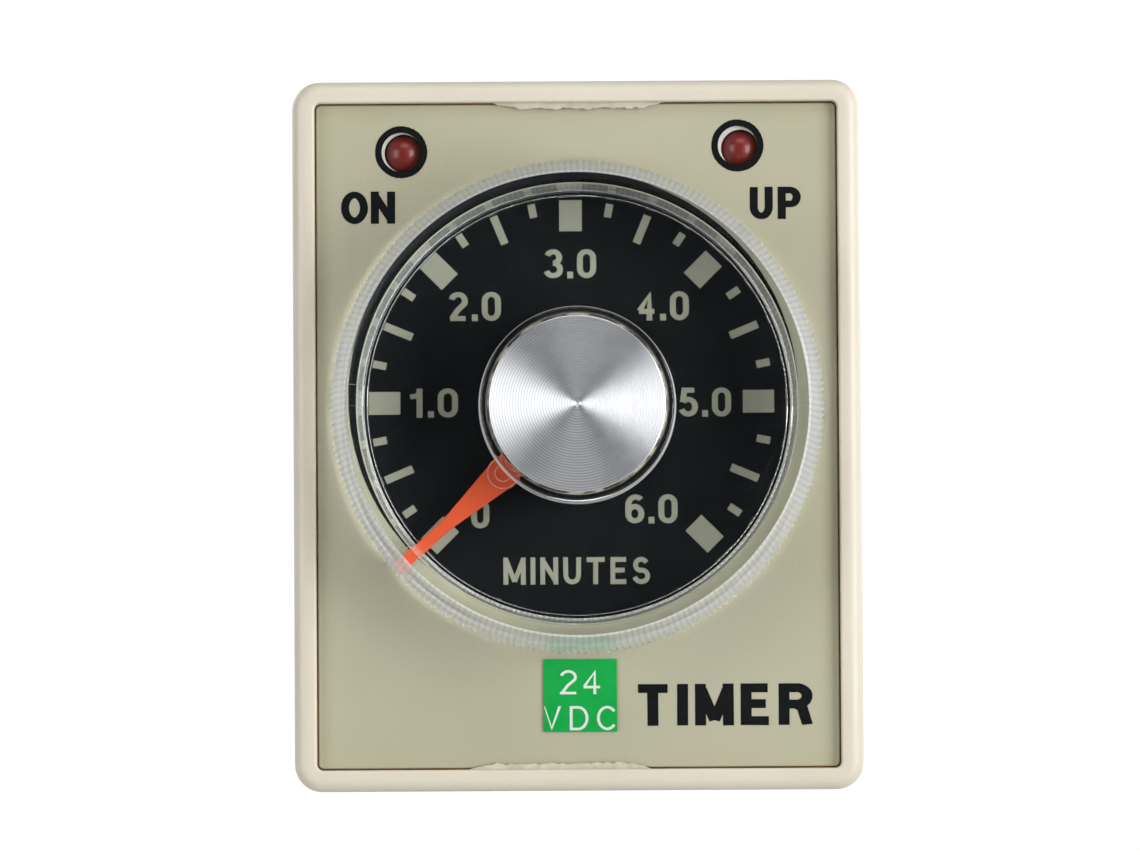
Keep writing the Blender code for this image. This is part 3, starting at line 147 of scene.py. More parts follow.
# %% [markdown]
# ## Small helpers for materials
# A material is a graph of nodes. `Finish` keeps one graph and adds nodes by their type name, which
# keeps each recipe short. Every pattern reads Object coordinates, which are metres in the timer's
# own frame, so a pattern stays on the piece when it turns. Image textures would do too, but a
# pattern made of nodes stays sharp at any distance and needs no files.

# %% Define the material helper
class Finish:
    """A material with a Principled shader, and the nodes that feed it."""

    def __init__(self, name, colour, roughness, metallic=0.0, **sockets):
        self.material = bpy.data.materials.new(name)
        self.material.use_nodes = True
        self.tree = self.material.node_tree
        self.shader = self.tree.nodes["Principled BSDF"]
        self.shader.inputs["Base Color"].default_value = (*colour, 1.0)
        self.shader.inputs["Roughness"].default_value = roughness
        self.shader.inputs["Metallic"].default_value = metallic
        for socket, value in sockets.items():
            self.shader.inputs[socket.replace("_", " ")].default_value = value
        self.place = self.tree.nodes.new("ShaderNodeTexCoord").outputs["Object"]
        self.bumps = None

    def node(self, kind, **values):
        made = self.tree.nodes.new("ShaderNode" + kind)
        for key, value in values.items():
            if hasattr(made, key):
                setattr(made, key, value)
            else:
                made.inputs[key.replace("_", " ")].default_value = value
        return made

    def link(self, output, socket):
        self.tree.links.new(output, socket)

    def noise(self, size, detail=3.0, stretch=(1.0, 1.0, 1.0)):
        """Soft random patches whose size is given in millimetres."""
        mapping = self.node("Mapping", Scale=stretch)
        self.link(self.place, mapping.inputs["Vector"])
        noise = self.node("TexNoise", Scale=1000.0 / size, Detail=detail)
        self.link(mapping.outputs["Vector"], noise.inputs["Vector"])
        return noise.outputs["Fac"]

    def ranged(self, value, low, high, start=0.3, end=0.7):
        """The value from start to end, stretched over low to high."""
        made = self.node("MapRange")
        made.inputs["From Min"].default_value = start
        made.inputs["From Max"].default_value = end
        made.inputs["To Min"].default_value = low
        made.inputs["To Max"].default_value = high
        self.link(value, made.inputs["Value"])
        return made.outputs["Result"]

    def blend(self, share, first, second):
        """A colour from first to second, by a share from 0 to 1."""
        made = self.node("Mix", data_type="RGBA")
        self.link(share, made.inputs[0])
        for socket, colour in ((made.inputs[6], first), (made.inputs[7], second)):
            if isinstance(colour, tuple):
                socket.default_value = (*colour, 1.0)
            else:
                self.link(colour, socket)
        return made.outputs[2]

    def paint(self, colour):
        self.link(colour, self.shader.inputs["Base Color"])

    def polish(self, roughness):
        self.link(roughness, self.shader.inputs["Roughness"])

    def bump(self, height, depth, strength=1.0):
        """Adds relief of a depth in millimetres on top of any relief already there."""
        made = self.node("Bump", Strength=strength, Distance=depth * MM)
        self.link(height, made.inputs["Height"])
        if self.bumps:
            self.link(self.bumps, made.inputs["Normal"])
        self.bumps = made.outputs["Normal"]
        self.link(self.bumps, self.shader.inputs["Normal"])

    def sine(self, value, factor):
        """The sine of a value times a factor, for rings and ribs at an even pitch."""
        phase = self.node("Math", operation="MULTIPLY")
        phase.inputs[1].default_value = factor
        self.link(value, phase.inputs[0])
        wave = self.node("Math", operation="SINE")
        self.link(phase.outputs[0], wave.inputs[0])
        return wave.outputs[0]

    def from_dial(self):
        """The way from the dial's axis to the point that is shaded."""
        away = self.node("VectorMath", operation="SUBTRACT")
        away.inputs[1].default_value = (DIAL_AXIS[0] * MM, 0.0, DIAL_AXIS[1] * MM)
        self.link(self.place, away.inputs[0])
        return away.outputs[0]

    def mixed_in(self, share, other):
        """Mixes another shader into this one, by a share from 0 to 1."""
        both = self.node("MixShader")
        self.link(share, both.inputs[0])
        self.link(self.shader.outputs[0], both.inputs[1])
        self.link(other.outputs[0], both.inputs[2])
        self.link(both.outputs[0], self.tree.nodes["Material Output"].inputs["Surface"])


def moulded(name, colour, second, roughness, patch=6.0, grain=0.12, relief=0.004, **sockets):
    """Moulded plastic: two close tones in soft patches, a fine grain, and uneven gloss."""
    finish = Finish(name, colour, roughness, **sockets)
    finish.paint(finish.blend(finish.ranged(finish.noise(patch), 0.0, 1.0), colour, second))
    finish.polish(finish.ranged(finish.noise(patch / 3), roughness - 0.05, roughness + 0.07))
    finish.bump(finish.noise(grain), relief)
    return finish


print("material helper ready")

# %% [markdown]
# ## Floor, surroundings and lamps of the studio
# The floor is a wide pale disc a little way under the timer. It fades to nothing round it, so no
# line cuts the white surroundings. Two tall soft boxes stand left and right, because a turned metal
# cap answers them with a bright bow tie. The surroundings are white where the camera sees them and
# greyer in every reflection, which gives the clear knob its dark edges.

# %% Make the studio
FLOOR_BELOW = 12.0
FLOOR_RADIUS = 600.0
FADE_START, FADE_END = 0.05, 0.19
SKY_SLOPE = (0.16, 0.38, -0.16)
SKY_LEVEL = 0.40

floor_shape = bmesh.new()
bmesh.ops.create_circle(floor_shape, cap_ends=True, radius=FLOOR_RADIUS * MM, segments=96)
floor_mesh = bpy.data.meshes.new("floor")
floor_shape.to_mesh(floor_mesh)
floor_shape.free()
floor_mesh.transform(Matrix.Translation((0.0, 0.0, (case_low.z - FLOOR_BELOW) * MM)))
floor = bpy.data.objects.new("floor", floor_mesh)
bpy.context.scene.collection.objects.link(floor)
floor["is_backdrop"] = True

paper = Finish("pale_floor", (0.86, 0.86, 0.85), 0.9, Specular_IOR_Level=0.05)
paper.paint(paper.blend(paper.noise(30.0), (0.85, 0.85, 0.84), (0.88, 0.88, 0.87)))
paper.bump(paper.noise(1.5), 0.01)
distance = paper.node("VectorMath", operation="LENGTH")
paper.link(paper.place, distance.inputs[0])
fade = paper.ranged(distance.outputs["Value"], 0.0, 1.0, FADE_START, FADE_END)
paper.mixed_in(fade, paper.node("BsdfTransparent"))
floor.data.materials.append(paper.material)
print("floor at", round(case_low.z - FLOOR_BELOW, 1), "mm")

# %% Make the surroundings
world = bpy.data.worlds.new("studio")
bpy.context.scene.world = world
world.use_nodes = True
sky = world.node_tree
seen = sky.nodes["Background"]
seen.inputs["Color"].default_value = (1.0, 1.0, 1.0, 1.0)
seen.inputs["Strength"].default_value = 1.05
around = sky.nodes.new("ShaderNodeBackground")
around.inputs["Color"].default_value = (0.86, 0.94, 1.0, 1.0)
toward = sky.nodes.new("ShaderNodeTexCoord")
slope = sky.nodes.new("ShaderNodeVectorMath")
slope.operation = "DOT_PRODUCT"
slope.inputs[1].default_value = SKY_SLOPE
level = sky.nodes.new("ShaderNodeMath")
level.operation = "ADD"
level.use_clamp = True
level.inputs[1].default_value = SKY_LEVEL
sky.links.new(toward.outputs["Generated"], slope.inputs[0])
sky.links.new(slope.outputs["Value"], level.inputs[0])
sky.links.new(level.outputs[0], around.inputs["Strength"])
chooser = sky.nodes.new("ShaderNodeMixShader")
ray = sky.nodes.new("ShaderNodeLightPath")
sky.links.new(ray.outputs["Is Camera Ray"], chooser.inputs[0])
sky.links.new(around.outputs[0], chooser.inputs[1])
sky.links.new(seen.outputs[0], chooser.inputs[2])
sky.links.new(chooser.outputs[0], sky.nodes["World Output"].inputs["Surface"])
print("world:", world.name)

# %% Hang the lamps
def soft_box(name, place, width, height, brightness):
    """A rectangular lamp at a place in millimetres, facing the timer's front."""
    light = bpy.data.lights.new(name, "AREA")
    light.shape = "RECTANGLE"
    light.size, light.size_y = width * MM, height * MM
    light.energy = brightness * math.pi * light.size * light.size_y
    lamp = bpy.data.objects.new(name, light)
    lamp.location = Vector(place) * MM
    aim = Vector((0.0, RIM_FRONT, 0.0)) * MM - lamp.location
    lamp.rotation_euler = aim.to_track_quat("-Z", "Y").to_euler()
    bpy.context.scene.collection.objects.link(lamp)


soft_box("left_box", (-430, -420, 40), 300, 440, 3.5)
soft_box("right_box", (430, -420, 20), 300, 440, 6.8)
soft_box("top_box", (30, -380, 430), 420, 240, 2.4)
soft_box("back_left_box", (-420, 380, 250), 300, 300, 2.6)
soft_box("back_right_box", (420, 380, 200), 300, 300, 2.6)
bpy.context.scene.view_settings.view_transform = "Standard"

# %% [markdown]
# ## Small helpers for shapes
# Most of this timer is made of two kinds of shape: outlines swept in depth, and profiles turned on
# an axis. Both are written here once, in millimetres, with the depth counted from the rim's front.
# The Screw modifier could turn a profile too, but it turns round an object's own origin, while the
# dial and each lamp here have an axis of their own in one shared frame.

# %% Define the shape helpers
def rounded_outline(width, height, corner, steps=8, centre=(0.0, 0.0)):
    """A rectangle's outline with rounded corners, anticlockwise from the front."""
    points = []
    for quarter, (right, up) in enumerate(((1, 1), (-1, 1), (-1, -1), (1, -1))):
        for step in range(steps + 1):
            angle = math.radians(90 * quarter + 90 * step / steps)
            x = centre[0] + right * (width / 2 - corner) + corner * math.cos(angle)
            z = centre[1] + up * (height / 2 - corner) + corner * math.sin(angle)
            points.append((x, z))
    return points


def round_outline(radius, steps, centre):
    turns = [2 * math.pi * step / steps for step in range(steps)]
    return [(centre[0] + radius * math.cos(a), centre[1] + radius * math.sin(a)) for a in turns]


def new_piece(name, shape, finish, sharp=35.0):
    """Turns a bmesh in millimetres into an object whose place is in its mesh."""
    bmesh.ops.transform(shape, matrix=Matrix.Scale(MM, 4), verts=shape.verts)
    mesh = bpy.data.meshes.new(name)
    shape.to_mesh(mesh)
    shape.free()
    mesh.shade_smooth()
    mesh.set_sharp_from_angle(angle=math.radians(sharp))
    if finish:
        mesh.materials.append(finish.material)
    piece = bpy.data.objects.new(name, mesh)
    bpy.context.scene.collection.objects.link(piece)
    return piece


def lofted(layers, closed=False):
    """A body through outlines (points, depth). closed joins the last layer to the first."""
    shape = bmesh.new()
    rings = [[shape.verts.new((x, RIM_FRONT + depth, z)) for x, z in points] for points, depth in layers]
    if not closed:
        shape.faces.new(rings[0])
        shape.faces.new(rings[-1])
    for ring, after in zip(rings, rings[1:] + (rings[:1] if closed else [])):
        for i in range(len(ring)):
            j = (i + 1) % len(ring)
            shape.faces.new((ring[i], ring[j], after[j], after[i]))
    bmesh.ops.recalc_face_normals(shape, faces=shape.faces)
    return shape


def turned(profile, steps=128, centre=(0.0, 0.0)):
    """A profile of (radius, depth) turned about an axis that runs front to back."""
    shape = bmesh.new()
    rings = []
    for radius, depth in profile:
        around = steps if radius > 0 else 1
        corners = round_outline(radius, around, centre)
        if radius == 0:
            corners = [centre]
        rings.append([shape.verts.new((x, RIM_FRONT + depth, z)) for x, z in corners])
    on_axis = profile[0][0] == 0
    for ring, after in zip(rings, rings[1:] if on_axis else rings[1:] + rings[:1]):
        for i in range(steps):
            j = (i + 1) % steps
            corners = (ring[i % len(ring)], ring[j % len(ring)])
            corners += (after[j % len(after)], after[i % len(after)])
            shape.faces.new(list(dict.fromkeys(corners)))
    bmesh.ops.recalc_face_normals(shape, faces=shape.faces)
    return shape


def block(low, high):
    """A box between two corners, with its depths counted from the rim."""
    outline = [(low[0], low[2]), (high[0], low[2]), (high[0], high[2]), (low[0], high[2])]
    return lofted([(outline, low[1]), (outline, high[1])])


def turned_round_dial(shape, degrees):
    """The shape turned anticlockwise about the dial's axis, as seen from the front."""
    centre = (DIAL_AXIS[0], 0.0, DIAL_AXIS[1])
    turn = Matrix.Rotation(math.radians(-degrees), 3, "Y")
    bmesh.ops.rotate(shape, cent=centre, matrix=turn, verts=shape.verts)
    return shape


def shaded(mesh, sharp):
    """Smooth shading, with an edge wherever two faces meet at more than the angle in degrees."""
    mesh.shade_smooth()
    mesh.set_sharp_from_angle(angle=math.radians(sharp))


def settled_mesh(piece, sharp):
    """Replaces the piece's mesh by what its modifiers make, and removes them."""
    graph = bpy.context.evaluated_depsgraph_get()
    graph.update()
    finished = bpy.data.meshes.new_from_object(piece.evaluated_get(graph))
    piece.modifiers.clear()
    piece.data = finished
    shaded(finished, sharp)


def carved(piece, cutters, sharp=35.0):
    """The piece with each cutter's shape taken out of it."""
    for number, cutter in enumerate(cutters):
        tool = new_piece(f"cutter_{number}", cutter, None)
        modifier = piece.modifiers.new("carve", "BOOLEAN")
        modifier.object = tool
        modifier.operation = "DIFFERENCE"
        modifier.solver = "EXACT"
    settled_mesh(piece, sharp)
    for tool in [o for o in bpy.data.objects if o.name.startswith("cutter_")]:
        bpy.data.objects.remove(tool)
    return piece


def finish_piece(piece, body, slot, *stands_for):
    """Puts a finished piece on its body and says which measured nodes it stands for."""
    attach(piece, body)
    if stands_for:
        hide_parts(*stands_for)
    triangles = sum(len(face.vertices) - 2 for face in piece.data.polygons)
    print(f"{piece.name}: {triangles} triangles on {body}")
    return piece


print("shape helpers ready")

# %% [markdown]
# ## The ivory case
# The case is one moulding: a flange with a rounded rim, a straight body behind it, and a front wall
# inside. It could be boxes with a Bevel modifier, but sweeping outlines in depth gives each edge
# its own rounding. The holes and the four windows for the plug base's catches are then carved out.
# Each of the two lamps sits a little off its printed ring.

# %% Make the case
CASE_WIDTH = case_high.x - case_low.x
CASE_HEIGHT = case_high.z - case_low.z
CASE_DEPTH = case_high.y - case_low.y
RIM_SIDE = 1.58
RIM_TOP = 1.52
OPENING_CORNER = 0.45
RIM_EDGE = 0.95
OPENING_WIDTH = CASE_WIDTH - 2 * RIM_SIDE
OPENING_HEIGHT = CASE_HEIGHT - 2 * RIM_TOP
CASE_CORNER = 1.95
FLANGE_DEPTH = 6.0
FLANGE_STEP = 1.8
WALL = 1.4
WALL_FRONT = PLATE_BACK + 0.1
BODY_WIDTH = CASE_WIDTH - 2 * FLANGE_STEP
BODY_HEIGHT = CASE_HEIGHT - 2 * FLANGE_STEP
INNER_LIP = 0.16
BUSHING_HOLE = 5.2
WALL_LAMP_HOLE = 1.6
CATCH_HEIGHTS = (-12.0, 12.0)
WINDOW_HALF = 2.6

ivory = moulded("ivory_plastic", (0.745, 0.685, 0.565), (0.715, 0.65, 0.53), 0.40, patch=9.0,
                grain=0.16, relief=0.006, Subsurface_Weight=0.08, Subsurface_Scale=0.0006)
ivory.bump(ivory.noise(5.0, 2.0), 0.02, 0.5)


def rim_layers():
    """Outlines of the case from inside the opening, over the rim and back to the seat face."""
    layers = [(rounded_outline(OPENING_WIDTH, OPENING_HEIGHT, OPENING_CORNER), WALL_FRONT)]
    for angle in (0, 30, 60, 90):
        turn = math.radians(angle)
        grow, depth = INNER_LIP * (1 - math.cos(turn)), INNER_LIP * (1 - math.sin(turn))
        corner = OPENING_CORNER + grow
        layers.append((rounded_outline(OPENING_WIDTH + 2 * grow, OPENING_HEIGHT + 2 * grow, corner), depth))
    for angle in range(0, 91, 9):
        turn = math.radians(angle)
        inset, depth = RIM_EDGE * (1 - math.sin(turn)), RIM_EDGE * (1 - math.cos(turn))
        corner = CASE_CORNER - inset
        layers.append((rounded_outline(CASE_WIDTH - 2 * inset, CASE_HEIGHT - 2 * inset, corner), depth))
    for inset, depth in ((0.0, FLANGE_DEPTH - 0.25), (0.07, FLANGE_DEPTH - 0.07), (0.25, FLANGE_DEPTH)):
        outline = rounded_outline(CASE_WIDTH - 2 * inset, CASE_HEIGHT - 2 * inset, CASE_CORNER)
        layers.append((outline, depth))
    layers.append((rounded_outline(BODY_WIDTH + 0.3, BODY_HEIGHT + 0.3, 1.7), FLANGE_DEPTH))
    layers.append((rounded_outline(BODY_WIDTH, BODY_HEIGHT, 1.6), FLANGE_DEPTH + 0.15))
    for inset, depth in ((0.0, CASE_DEPTH - 0.3), (0.09, CASE_DEPTH - 0.09), (0.3, CASE_DEPTH)):
        layers.append((rounded_outline(BODY_WIDTH - 2 * inset, BODY_HEIGHT - 2 * inset, 1.6), depth))
    cavity = rounded_outline(BODY_WIDTH - 2 * WALL, BODY_HEIGHT - 2 * WALL, 1.0)
    layers.append((cavity, CASE_DEPTH))
    layers.append((cavity, WALL_FRONT + 2.0))
    return layers


def drill(radius, start, end, steps, centre):
    """A round bar that cuts a hole between two depths."""
    return turned([(0, start), (radius, start), (radius, end), (0, end)], steps, centre)


def shifted(places, shifts):
    return {name: (x + shifts[name][0], z + shifts[name][1]) for name, (x, z) in places.items()}


lamp_boxes = {name: box_mm(name) for name in ("led_on", "led_up")}
lamp_middles = {name: ((a.x + b.x) / 2, (a.z + b.z) / 2) for name, (a, b) in lamp_boxes.items()}
LAMP_PLACES = shifted(lamp_middles, {"led_on": (-0.15, 0.24), "led_up": (0.0, 0.2)})
RING_PLACES = shifted(LAMP_PLACES, {"led_on": (-0.16, 0.05), "led_up": (-0.2, 0.18)})
wall_cutters = [drill(BUSHING_HOLE, WALL_FRONT - 1, WALL_FRONT + 3, 64, DIAL_AXIS)]
for lamp_place in LAMP_PLACES.values():
    wall_cutters.append(drill(WALL_LAMP_HOLE, WALL_FRONT - 1, WALL_FRONT + 3, 40, lamp_place))
for z in CATCH_HEIGHTS:
    window_low = (-BODY_WIDTH, CASE_DEPTH - 3.9, z - WINDOW_HALF)
    window_high = (BODY_WIDTH, CASE_DEPTH - 1.5, z + WINDOW_HALF)
    wall_cutters.append(block(window_low, window_high))
case = carved(new_piece("case_shell", lofted(rim_layers()), ivory), wall_cutters)
finish_piece(case, "case", "ivory_case", "housing")

# %% [markdown]
# ## The torn lips that hold the plate
# The plate was snapped in behind two thin lips of the rim, and their edges are torn and pale.
# A torn edge is random, so the strip is made in Geometry Nodes: a grid whose free edge moves by
# noise. The same seed gives the same tear each time, and named inputs keep the two strips apart.

# %% Define how a Geometry Nodes tree is built and run
class Tree:
    """A Geometry Nodes tree with named inputs."""

    def __init__(self, name, **inputs):
        self.tree = bpy.data.node_groups.new(name, "GeometryNodeTree")
        faces = self.tree.interface
        faces.new_socket("Geometry", in_out="INPUT", socket_type="NodeSocketGeometry")
        for key, value in inputs.items():
            kind = {int: "Int", float: "Float", tuple: "Vector"}.get(type(value), "Material")
            made = faces.new_socket(key, in_out="INPUT", socket_type="NodeSocket" + kind)
            if kind != "Material":
                made.default_value = value
        faces.new_socket("Geometry", in_out="OUTPUT", socket_type="NodeSocketGeometry")
        self.start = self.tree.nodes.new("NodeGroupInput")
        self.end = self.tree.nodes.new("NodeGroupOutput")

    def node(self, kind, **values):
        made = self.tree.nodes.new(kind)
        for key, value in values.items():
            setattr(made, key, value)
        return made

    def link(self, output, socket):
        self.tree.links.new(output, socket)

    def given(self, name):
        return self.start.outputs[name]

    def math(self, operation, *values):
        """A Math node. Each value is a number or another node's output."""
        made = self.node("ShaderNodeMath", operation=operation)
        for socket, value in zip(made.inputs, values):
            if isinstance(value, (int, float)):
                socket.default_value = value
            else:
                self.link(value, socket)
        return made.outputs[0]

    def point(self, *values):
        """A Combine XYZ node. Each value is a number or another node's output."""
        made = self.node("ShaderNodeCombineXYZ")
        for socket, value in zip(made.inputs, values):
            if isinstance(value, (int, float)):
                socket.default_value = value
            else:
                self.link(value, socket)
        return made.outputs[0]

    def shifted_by(self, offset):
        """The incoming shape with each point moved by its own offset."""
        moved = self.node("GeometryNodeSetPosition")
        self.link(self.given("Geometry"), moved.inputs["Geometry"])
        self.link(offset, moved.inputs["Offset"])
        return moved.outputs[0]

    def from_axis(self):
        """Each point's x, y and z counted from the input Axis, and its distance from that line."""
        move = self.node("ShaderNodeVectorMath", operation="SUBTRACT")
        self.link(self.node("GeometryNodeInputPosition").outputs[0], move.inputs[0])
        self.link(self.given("Axis"), move.inputs[1])
        apart = self.node("ShaderNodeSeparateXYZ")
        self.link(move.outputs[0], apart.inputs[0])
        x, y, z = apart.outputs
        square = self.math("ADD", self.math("MULTIPLY", x, x), self.math("MULTIPLY", z, z))
        return x, y, z, self.math("SQRT", square)

    def circle_points(self, step):
        """Points on a circle round the input Centre, and each one's angle."""
        points = self.node("GeometryNodePoints")
        self.link(self.given("Count"), points.inputs["Count"])
        index = self.node("GeometryNodeInputIndex").outputs[0]
        angle = self.math("ADD", self.given("First"), self.math("MULTIPLY", index, step))
        across = self.math("MULTIPLY", self.given("Radius"), self.math("COSINE", angle))
        height = self.math("MULTIPLY", self.given("Radius"), self.math("SINE", angle))
        move = self.node("ShaderNodeVectorMath", operation="ADD")
        self.link(self.point(across, 0.0, height), move.inputs[0])
        self.link(self.given("Centre"), move.inputs[1])
        self.link(move.outputs[0], points.inputs["Position"])
        return points.outputs[0], angle

    def finish(self, geometry):
        """Every tree ends with real geometry that has its material."""
        realize = self.node("GeometryNodeRealizeInstances")
        painted = self.node("GeometryNodeSetMaterial")
        self.link(geometry, realize.inputs[0])
        self.link(realize.outputs[0], painted.inputs["Geometry"])
        self.link(self.given("Finish"), painted.inputs["Material"])
        self.link(painted.outputs[0], self.end.inputs[0])


def grown(piece, tree, sharp=35.0, **values):
    """Runs a tree on a piece and keeps the result as a plain mesh."""
    modifier = piece.modifiers.new(tree.tree.name, "NODES")
    modifier.node_group = tree.tree
    for item in tree.tree.interface.items_tree:
        if item.in_out == "INPUT" and item.name in values:
            modifier[item.identifier] = values[item.name]
    settled_mesh(piece, sharp)
    return piece


print("tree helper ready")

# %% Define the tear
TEAR_SCALE = 1500.0


def torn_lip_tree():
    """A slab whose free edge is torn: its height follows noise along its length."""
    tree = Tree("torn_lip", Reach=0.0005, Tear=0.0002, Seed=1.0, Finish=None)
    place = tree.node("GeometryNodeInputPosition")
    share = tree.node("GeometryNodeInputNamedAttribute")
    share.inputs["Name"].default_value = "free"
    noise = tree.node("ShaderNodeTexNoise", noise_dimensions="4D")
    noise.inputs["Scale"].default_value = TEAR_SCALE
    noise.inputs["Detail"].default_value = 4.0
    tree.link(place.outputs[0], noise.inputs["Vector"])
    tree.link(tree.given("Seed"), noise.inputs["W"])
    tear = tree.math("MULTIPLY", tree.math("SUBTRACT", noise.outputs[0], 0.5), tree.given("Tear"))
    reach = tree.math("ADD", tree.given("Reach"), tree.math("MULTIPLY", tear, 2.0))
    lift = tree.math("MULTIPLY", share.outputs["Attribute"], reach)
    curl = tree.math("MULTIPLY", tree.math("ABSOLUTE", lift), -0.25)
    tree.finish(tree.shifted_by(tree.point(0.0, curl, lift)))
    return tree


torn_lip = torn_lip_tree()
lip_plastic = moulded("torn_lip_plastic", (0.66, 0.62, 0.50), (0.50, 0.47, 0.35), 0.55, patch=0.9,
                      grain=0.1, relief=0.01)
print("tear ready")

# %% Tear the two lips
LIP_STEPS = 150
LIP_REACH = 0.46
LIP_TEAR = 0.34


def lip_strip(name, start, end, up, seed):
    """A thin strip along the rim, ready to be torn. Its free edge carries the attribute free."""
    edge = up * (OPENING_HEIGHT / 2 + 0.05)
    front, rear = PLATE_DEPTH - 0.32, PLATE_DEPTH - 0.04
    shape = bmesh.new()
    free = shape.verts.layers.float.new("free")
    rings = []
    for step in range(LIP_STEPS + 1):
        share = step / LIP_STEPS
        x = start + (end - start) * share
        fade = min(1.0, share / 0.16, (1 - share) / 0.10) ** 0.7
        ring = []
        for row in (0, 1, 2, 2, 1, 0):
            depth = front if len(ring) < 3 else rear
            if row == 2 and depth == front:
                depth += 0.1
            vert = shape.verts.new((x, RIM_FRONT + depth, edge))
            vert[free] = -up * fade * row / 2
            ring.append(vert)
        rings.append(ring)
    for ring, after in zip(rings, rings[1:]):
        for i in range(6):
            j = (i + 1) % 6
            shape.faces.new((ring[i], ring[j], after[j], after[i]))
    shape.faces.new(rings[0])
    shape.faces.new(rings[-1])
    lip = new_piece(name, shape, None)
    grown(lip, torn_lip, Reach=LIP_REACH * MM, Tear=LIP_TEAR * MM, Seed=seed, Finish=lip_plastic.material)
    fixed = bmesh.new()
    fixed.from_mesh(lip.data)
    bmesh.ops.recalc_face_normals(fixed, faces=fixed.faces)
    fixed.to_mesh(lip.data)
    fixed.free()
    finish_piece(lip, "case", "ivory_case")


lip_strip("top_lip", -6.0, 6.2, 1, 2.0)
lip_strip("bottom_lip", -7.9, 5.1, -1, 7.0)

# %% [markdown]
# ## The front plate
# The plate is a clear sheet printed beige on its back, so it looks soft and slightly milky, with a
# few specks of dust. A plain box would do for the shape, but its holes need finer edges, so it is
# carved again. The milky look is a coat over a two-tone colour, and the specks are fine noise.

# %% Make the plate
PLATE_GAP = 0.12
PLATE_WIDTH = OPENING_WIDTH - 2 * PLATE_GAP
PLATE_HEIGHT = OPENING_HEIGHT - 2 * PLATE_GAP
PLATE_CORNER = 0.35
PLATE_CHAMFER = 0.06
SHAFT_HOLE_RADIUS = 4.0
LAMP_HOLE_RADIUS = 1.4

beige = Finish("printed_beige", (0.46, 0.44, 0.31), 0.5, Coat_Weight=0.3, Coat_Roughness=0.22)
patches = beige.ranged(beige.noise(14.0, 2.0), 0.0, 1.0)
tone = beige.blend(patches, (0.475, 0.455, 0.325), (0.445, 0.425, 0.295))
speck = beige.ranged(beige.noise(0.16, 1.0), 0.0, 1.0, 0.745, 0.77)
beige.paint(beige.blend(speck, tone, (0.55, 0.55, 0.47)))
beige.polish(beige.ranged(beige.noise(4.0), 0.42, 0.55))
beige.bump(beige.noise(0.25), 0.0015)

plate_outline = rounded_outline(PLATE_WIDTH, PLATE_HEIGHT, PLATE_CORNER)
plate_edge = rounded_outline(PLATE_WIDTH - 2 * PLATE_CHAMFER, PLATE_HEIGHT - 2 * PLATE_CHAMFER,
                             PLATE_CORNER - PLATE_CHAMFER)
plate_shape = lofted([(plate_edge, PLATE_DEPTH), (plate_outline, PLATE_DEPTH + PLATE_CHAMFER),
                      (plate_outline, PLATE_BACK)])
holes = [drill(SHAFT_HOLE_RADIUS, 0, 3, 64, DIAL_AXIS)]
holes += [drill(LAMP_HOLE_RADIUS, 0, 3, 48, centre) for centre in RING_PLACES.values()]
plate = carved(new_piece("front_plate", plate_shape, beige), holes)
finish_piece(plate, "case", "printed_plate", "face_plate")

# %% [markdown]
# ## The brown line round the plate
# A dark brown frame fills the gap between the plate and the rim, so the gap isn't black. An empty gap
# would show only shadow, so the brown is a frame of its own, swept like the rim.

# %% Fill the gap round the plate
GAP_DEPTH = PLATE_DEPTH + 0.12
# A dark brown frame in the gap, where an empty gap would render as black shadow.
gap_brown = moulded("brown_adhesive", (0.20, 0.095, 0.035), (0.07, 0.035, 0.015), 0.4, patch=2.5,
                   grain=0.3)
gap_outer = rounded_outline(OPENING_WIDTH - 0.01, OPENING_HEIGHT - 0.01, OPENING_CORNER)
gap_inner = rounded_outline(PLATE_WIDTH + 0.01, PLATE_HEIGHT + 0.01, PLATE_CORNER)
gap_layers = [(gap_inner, PLATE_BACK), (gap_inner, GAP_DEPTH), (gap_outer, GAP_DEPTH),
              (gap_outer, PLATE_BACK)]
gap_frame = new_piece("adhesive_line", lofted(gap_layers, closed=True), gap_brown)
finish_piece(gap_frame, "case", "ivory_case")

# %% [markdown]
# ## Inks
# Ink lies on the plate as a film far thinner than a hair. Here each print is a real film a few
# hundredths of a millimetre thick, because a shape keeps a crisp edge at any distance. The dial's
# black was printed slightly off the knob's axis, and that small error is kept.

# %% Print the black dial and the rings round the lamps
INK = 0.02
DIAL_PRINT = (DIAL_AXIS[0] - 0.40, DIAL_AXIS[1] + 0.31)
BLACK_CENTRE = (DIAL_AXIS[0] - 0.27, DIAL_AXIS[1] + 0.70)
BLACK_RADIUS = 15.78
BLACK_HOLE = 4.3
RING_OUTER = 1.84
RING_INNER = 1.38
WANDER = 0.02

black_ink = Finish("black_ink", (0.008, 0.009, 0.010), 0.42, Specular_IOR_Level=0.08)
black_ink.paint(black_ink.blend(black_ink.noise(3.0), (0.006, 0.007, 0.008), (0.010, 0.011, 0.012)))
black_ink.polish(black_ink.ranged(black_ink.noise(0.6), 0.36, 0.5))
black_ink.bump(black_ink.noise(0.12), 0.002)
mark_ink = Finish("mark_ink", (0.34, 0.335, 0.255), 0.5)
mark_ink.paint(mark_ink.blend(mark_ink.noise(0.3), (0.32, 0.315, 0.24), (0.37, 0.365, 0.28)))
mark_ink.bump(mark_ink.noise(0.12), 0.002)


